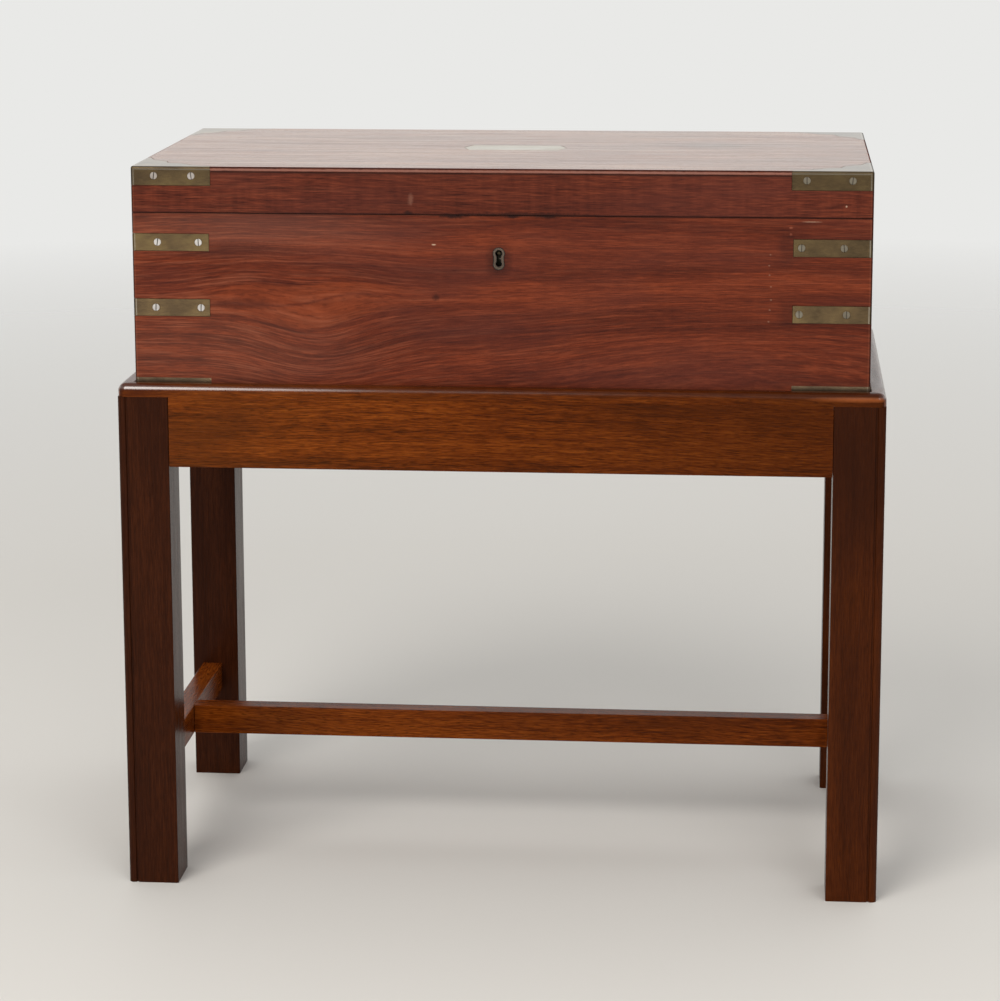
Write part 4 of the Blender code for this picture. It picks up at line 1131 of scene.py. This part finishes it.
screwModel = modelScrew(screwShape)
recessRadius = screwShape["radius"] + screwShape["ring"]
recessModel = addDrum("recess", (0, 0, 0), recessRadius, screwShape["recess"], screwShape["sidesRound"])
screwGroups = {}
recesses = []
for spot, out, lean, body, kind, scale in (*screwPlaces(screwShape), *smallScrewPlaces(screwShape)):
    screw = copyOf(screwModel, "screw")
    screw.data.transform(standOn(spot + out * screwShape["flush"], out, lean, scale))
    screwGroups.setdefault((body, kind), []).append(screw)
    recess = copyOf(recessModel, "recess")
    recess.data.transform(standOn(spot - out * screwShape["sunk"] * scale, out, lean, scale))
    recesses.append(recess)
recessTool = joinAll(recesses, "recessTool")
for (body, kind), group in screwGroups.items():
    screws = joinAll(group, f"{'case' if body == 'desk_case' else 'lid'}_screws_{kind}")
    finishPiece(screws, body, "steel", None)
    # painted light: the left screws keep lit, paler copies of the finish, and the others take the dull one
    if kind != "left":
        screws.data.materials[0] = metal["dullScrew"]
    elif body == "lid":
        screws.data.materials[0] = metal["litPaleScrew"]
print("screws done")


# Brass: straps and lid corners

for deep, end, sy, sx in corners:
    # painted shade: the straps on the right take the darker copy of the brass
    brass = metal["dullBrass" if end == "left" else "shadedBrass"]
    for band in ("lower_strap", "upper_strap", "lid_corner", "bottom_strap"):
        node = f"{band}_{deep}_{end}"
        isBottom = band == "bottom_strap"
        piece = bottomStrap(deep, end, node) if isBottom else copyNode(node, node + "_brass")
        combine(piece, blank, "INTERSECT", True)
        combine(piece, recessTool, keep=True)
        if isBottom:
            finishPiece(piece, "desk_case", "brass", metal["footBrass"])
        elif band == "lid_corner":
            openSeams(piece, brass, metal["slotGrime"])
            finishPiece(piece, "lid", "brass", None, node)
        else:
            finishPiece(piece, bodyOf(band, deep), "brass", brass, node)
print("brass straps done")


# Hinges, lock, name plate and keyhole plate

lockShape = inMm(
    leafEasing=0.15, boltEasing=0.2, long=2.5, caseEasing=0.3, caseLong=8,
    selvedge=1.1, selvedgeDrop=0.15, selvedgeReach=25.6, selvedgeInset=0.6,
    slotAt=14, slotHalf=2.6, slotEdge=1.2,
)
plateShape = inMm(easing=0.2, keyEasing=0.3, dirt=0.4)


def modelLockCase(look):
    lock = copyNode("lock_case", "lock_case_brass")
    low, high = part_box("lock_case")
    top, deep = high.z, look["selvedge"]
    reach, inset = look["selvedgeReach"], look["selvedgeInset"]
    selvedge = addBlock(
        "selvedge", (-reach, low.y + inset, top - deep), (reach, high.y - inset, top - look["selvedgeDrop"])
    )
    combine(lock, selvedge, "UNION")
    half, edge = look["slotHalf"], look["slotEdge"]
    for at in (-look["slotAt"], look["slotAt"]):
        first = at - half, low.y + edge, top - 2 * deep
        last = at + half, high.y - edge, top + deep
        combine(lock, addBlock("stapleSlot", first, last))
    easeArrises(lock, look["caseEasing"], 2, longerThan(look["caseLong"]))
    combine(lock, recessTool, keep=True)
    return lock


def easedMetal(node, body, slot, finish, easing):
    piece = copyNode(node, f"{node}_{slot}")
    if slot == "brass":
        combine(piece, recessTool, keep=True)
    easeArrises(piece, easing, 2, longerThan(lockShape["long"]))
    finishPiece(piece, body, slot, metal[finish], node)


for end in ("left", "right"):
    for part, body in (("case", "desk_case"), ("lid", "lid")):
        easedMetal(f"hinge_{end}_{part}_leaf", body, "brass", "dullBrass", lockShape["leafEasing"])
    nodes[f"hinge_{end}_pin"].material_slots[0].material = metal["darkSteel"]
finishPiece(modelLockCase(lockShape), "desk_case", "brass", metal["lockBrass"], "lock_case")
easedMetal("link_plate", "lid", "brass", "dullBrass", lockShape["boltEasing"])
easedMetal("lock_bolt", "lock_bolt", "steel", "darkSteel", lockShape["boltEasing"])
for tool in (recessTool, recessModel, screwModel, blank):
    bpy.data.objects.remove(tool)
plate = copyNode("name_plate", "name_plate_brass")
easeArrises(plate, plateShape["easing"])
finishPiece(plate, "lid", "brass", metal["plateBrass"], "name_plate")
keyPlate = copyNode("keyhole_escutcheon", "keyhole_plate")
easeArrises(keyPlate, plateShape["keyEasing"], 3, lambda a, b: max(a.y, b.y) < slack - boxHalfY)
# the plate's bevels and a band along both edges of its face are painted dark, as dirt and painted shade; only
# the crown keeps the brass
chooseFaces(keyPlate, turnedTo(sides["front"][0]))
insetBy(plateShape["dirt"])
endEdit()
crown = [face.index for face in keyPlate.data.polygons if face.select]
splitFinish(keyPlate, (metal["plateDirtAndShade"], metal["keyRimBrass"]))
for index in crown:
    keyPlate.data.polygons[index].material_index = 1
finishPiece(keyPlate, "desk_case", "brass", None, "keyhole_escutcheon")
print("hinges, lock and plates done")


# Stand

rimShape = inMm(corner=6, nosing=5, seat=0.05, easing=0.8)


def modelRim(look):
    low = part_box("apron_front")[1].z + look["seat"]
    innerX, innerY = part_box("rim_right")[0].x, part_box("rim_back")[0].y
    ring = addBlock("rimRing", (-standHalfX, -standHalfY, low), (standHalfX, standHalfY, rimHigh))
    bevelEdges(ring, look["corner"], 8, isUpright)
    bevelEdges(ring, look["nosing"], 8, above(rimHigh))
    combine(ring, addBlock("rimWell", (-innerX, -innerY, 0), (innerX, innerY, 1)))

    def roundWell(*ends):
        return above(rimHigh)(*ends) and all(
            abs(p.x) < innerX + slack and abs(p.y) < innerY + slack for p in ends
        )

    bevelEdges(ring, look["easing"], 3, roundWell)
    half = Vector((standHalfX, standHalfY, 0))
    for side, (out, along) in sides.items():
        strip = copyOf(ring, f"rim_{side}_strip")
        pick(strip)
        openEdit()
        for end in (-1, 1):
            tip = out * abs(half.dot(out)) + along * abs(half.dot(along)) * end
            mitre = (along * end - out).normalized()
            bpy.ops.mesh.select_all(action="SELECT")
            bpy.ops.mesh.bisect(plane_co=tip, plane_no=mitre, use_fill=True, clear_outer=True)
        endEdit()
        finishPiece(strip, "stand", "stand_wood", wood["rimAlong" if along.x else "rimAcross"], f"rim_{side}")
    bpy.data.objects.remove(ring)


# Each easing of a leg: its width and segments, and how far in from the outer corner its edges lie
legShape = {
    "arris": (0.9 * mm, 4, 1 * mm, 3 * mm),
    "bead": (1.3 * mm, 4, 5 * mm, 6 * mm),
    "quirk": (0.35 * mm, 2, 6.5 * mm, 7.5 * mm),
    "inner": (0.8 * mm, 3, 30 * mm, 40 * mm),
    "foot": 0.6 * mm, "long": 60 * mm, "onFace": 0.1 * mm,
}


def modelLegs(look):
    for deep, end, sy, sx in corners:
        node = f"leg_{deep}_{end}"
        leg = copyNode(node, node + "_post")
        for name in ("arris", "bead", "quirk", "inner"):
            width, segments, low, high = look[name]

            def test(first, last):
                inset = standHalfX - sx * first.x, standHalfY - sy * first.y
                if name in ("bead", "quirk") and min(inset) >= look["onFace"]:
                    return False
                runs = isUpright(first, last) and (first - last).length > look["long"]
                return runs and low < max(inset) < high

            bevelEdges(leg, width, segments, test)
        bevelEdges(leg, look["foot"], 2, below(0))
        finishPiece(leg, "stand", "leg_wood", wood[f"standLeg{end.title()}"], node)


railShape = inMm(easing=0.6, long=100)


def modelRails(look):
    aprons = [f"apron_{side}" for side in sides]
    for name in (*aprons, "stretcher_left", "stretcher_right", "stretcher_cross"):
        rail = copyNode(name, name + "_rail")
        low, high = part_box(name)
        under = (low.z + high.z) / 2 if name in aprons else high.z  # the rim covers an apron's top
        isLong = longerThan(look["long"])
        easeArrises(rail, look["easing"], 3, lambda a, b: isLong(a, b) and max(a.z, b.z) <= under)
        alongX = name.endswith(("front", "back", "cross"))
        finishPiece(rail, "stand", "stand_wood", wood["standAlong" if alongX else "standAcross"], name)


modelRim(rimShape)
modelLegs(legShape)
modelRails(railShape)
print("stand done")


# Inside

insideShape = inMm(easing=0.4)
for name, grain in (
    ("case_bottom", "liningFlat"), ("pen_shelf", "liningFlat"), ("compartment_divider", "liningAlong"),
    ("well_partition_left", "liningAcross"), ("well_partition_right", "liningAcross"),
):
    board = copyNode(name, name + "_board")
    easeArrises(board, insideShape["easing"])
    finishPiece(board, "desk_case", "lining_wood", wood[grain], name)


# Writing flaps: a margin of wood round a leather facing with two tooled lines

flapShape = inMm(
    margin=13, sink=0.8, gap=0.12, skin=0.65, easing=0.5, skinEasing=0.2, draft=0.02,
    border=7, between=2.4, slope=0.25, floor=0.7, depth=0.14,
)


def modelFlap(node, body, up, look):
    square = sawSquare * up
    board = copyNode(node, node + "_board")
    easeArrises(board, look["easing"], 3)
    chooseFaces(board, turnedTo(square))
    insetBy(look["margin"])
    insetBy(look["draft"], -look["sink"])
    insetBy(look["gap"])
    bpy.ops.mesh.duplicate()
    bpy.ops.mesh.separate(type="SELECTED")
    endEdit()
    skin = next(piece for piece in bpy.context.selected_objects if piece != board)
    skin.name = node + "_leather"
    pick(skin)
    thick = skin.modifiers.new("skin", "SOLIDIFY")
    thick.thickness = look["skin"]
    thick.offset = 1.0
    bpy.ops.object.modifier_apply(modifier=thick.name)
    floor = min(vertex.co.dot(square) for vertex in skin.data.vertices)
    middle = floor + look["skin"] / 2
    easeArrises(skin, look["skinEasing"], 2, lambda a, b: min(a.dot(square), b.dot(square)) > middle)
    chooseFaces(skin, turnedTo(square))
    insetBy(look["border"])
    line = look["slope"], look["floor"], look["depth"]
    sinkLine(*line)
    insetBy(look["between"])
    sinkLine(*line)
    endEdit()
    tooled = floor + look["skin"] - look["depth"] / 2
    splitFinish(
        skin, (deskLeather, metal["giltLine"]),
        lambda centre, normal: middle < centre.dot(square) < tooled and normal.dot(square) > 0.7,
    )
    finishPiece(board, body, "lining_wood", wood["liningFlat"], node)
    finishPiece(skin, body, "leather", None, node)


modelFlap("case_writing_flap", "desk_case", 1, flapShape)
modelFlap("lid_writing_flap", "lid", -1, flapShape)
print("flaps done")


# Pen tray with two rounded grooves

trayShape = inMm(groove=10.5, rib=3, end=12, scoop=3, easing=0.5)


def modelTray(look):
    low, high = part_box("pen_tray")
    middle = (low + high) / 2
    tray = addBlock("pen_tray_block", low, high)
    length = high.x - low.x - 2 * look["end"]
    for side in (-1, 1):
        place = (middle.x, middle.y + side * (look["groove"] + look["rib"] / 2), high.z)
        groove = addDrum("groove", place, look["groove"], length, 64, (0, math.pi / 2, 0))
        bevelEdges(groove, look["scoop"], 4, lambda a, b: abs(a.x - b.x) < slack)
        combine(tray, groove)
    easeArrises(tray, look["easing"])
    finishPiece(tray, "desk_case", "lining_wood", wood["liningFlat"], "pen_tray")


# Ink bottles and their fluted caps

bottleShape = inMm(
    neck=8, neckRadius=12, neckRoot=1, bore=9, floor=6, corner=3, shoulder=2, foot=1, lip=0.6,
)
capShape = {
    "sides": 48,
    **inMm(
        fluteInset=0.3, fluteDepth=0.3, edge=0.9, bore=12.3, top=1.6,
        ringAt=3.2, ringSlope=0.3, ringFloor=0.5, ringDepth=0.35,
    ),
}
boreClear = 1 * mm


def modelBottle(end, look):
    node = f"inkwell_{end}"
    low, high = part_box(node)
    middle = (low + high) / 2
    shoulder = high.z - look["neck"]
    bottle = addBlock(node + "_bottle", low, (high.x, high.y, shoulder))
    bevelEdges(bottle, look["corner"], 5, isUpright)
    bevelEdges(bottle, look["shoulder"], 4, above(shoulder))
    bevelEdges(bottle, look["foot"], 3, below(low.z))
    neck = standingDrum("neck", middle, shoulder - look["neckRoot"], high.z, look["neckRadius"])
    combine(bottle, neck, "UNION")
    combine(bottle, standingDrum("bore", middle, low.z + look["floor"], high.z + boreClear, look["bore"]))
    bevelEdges(bottle, look["lip"], 3, above(high.z))
    finishPiece(bottle, "desk_case", "glass", bottleGlass, node)


def modelCap(end, look):
    node = f"inkwell_cap_{end}"
    low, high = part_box(node)
    middle = (low + high) / 2
    cap = addDrum(node + "_brass", middle, (high.x - low.x) / 2, high.z - low.z, look["sides"])

    def isFlute(centre, normal):
        turn = math.atan2(centre.y - middle.y, centre.x - middle.x) / (2 * math.pi) * look["sides"]
        return abs(normal.z) < 0.1 and math.floor(turn) % 2 == 0

    bevelEdges(cap, look["edge"], 3, above(high.z))
    chooseFaces(cap, isFlute)
    bpy.ops.mesh.inset(thickness=look["fluteInset"], depth=-look["fluteDepth"], use_individual=True)
    endEdit()
    chooseFaces(cap, lambda centre, normal: normal.z > 0.99 and centre.z > high.z - slack)
    insetBy(look["ringAt"])
    sinkLine(look["ringSlope"], look["ringFloor"], look["ringDepth"])
    endEdit()
    combine(cap, standingDrum("bore", middle, low.z - boreClear, high.z - look["top"], look["bore"]))
    finishPiece(cap, node, "brass", metal["dullBrass"], node)


modelTray(trayShape)
for end in ("left", "right"):
    modelBottle(end, bottleShape)
    modelCap(end, capShape)
print("inside done")
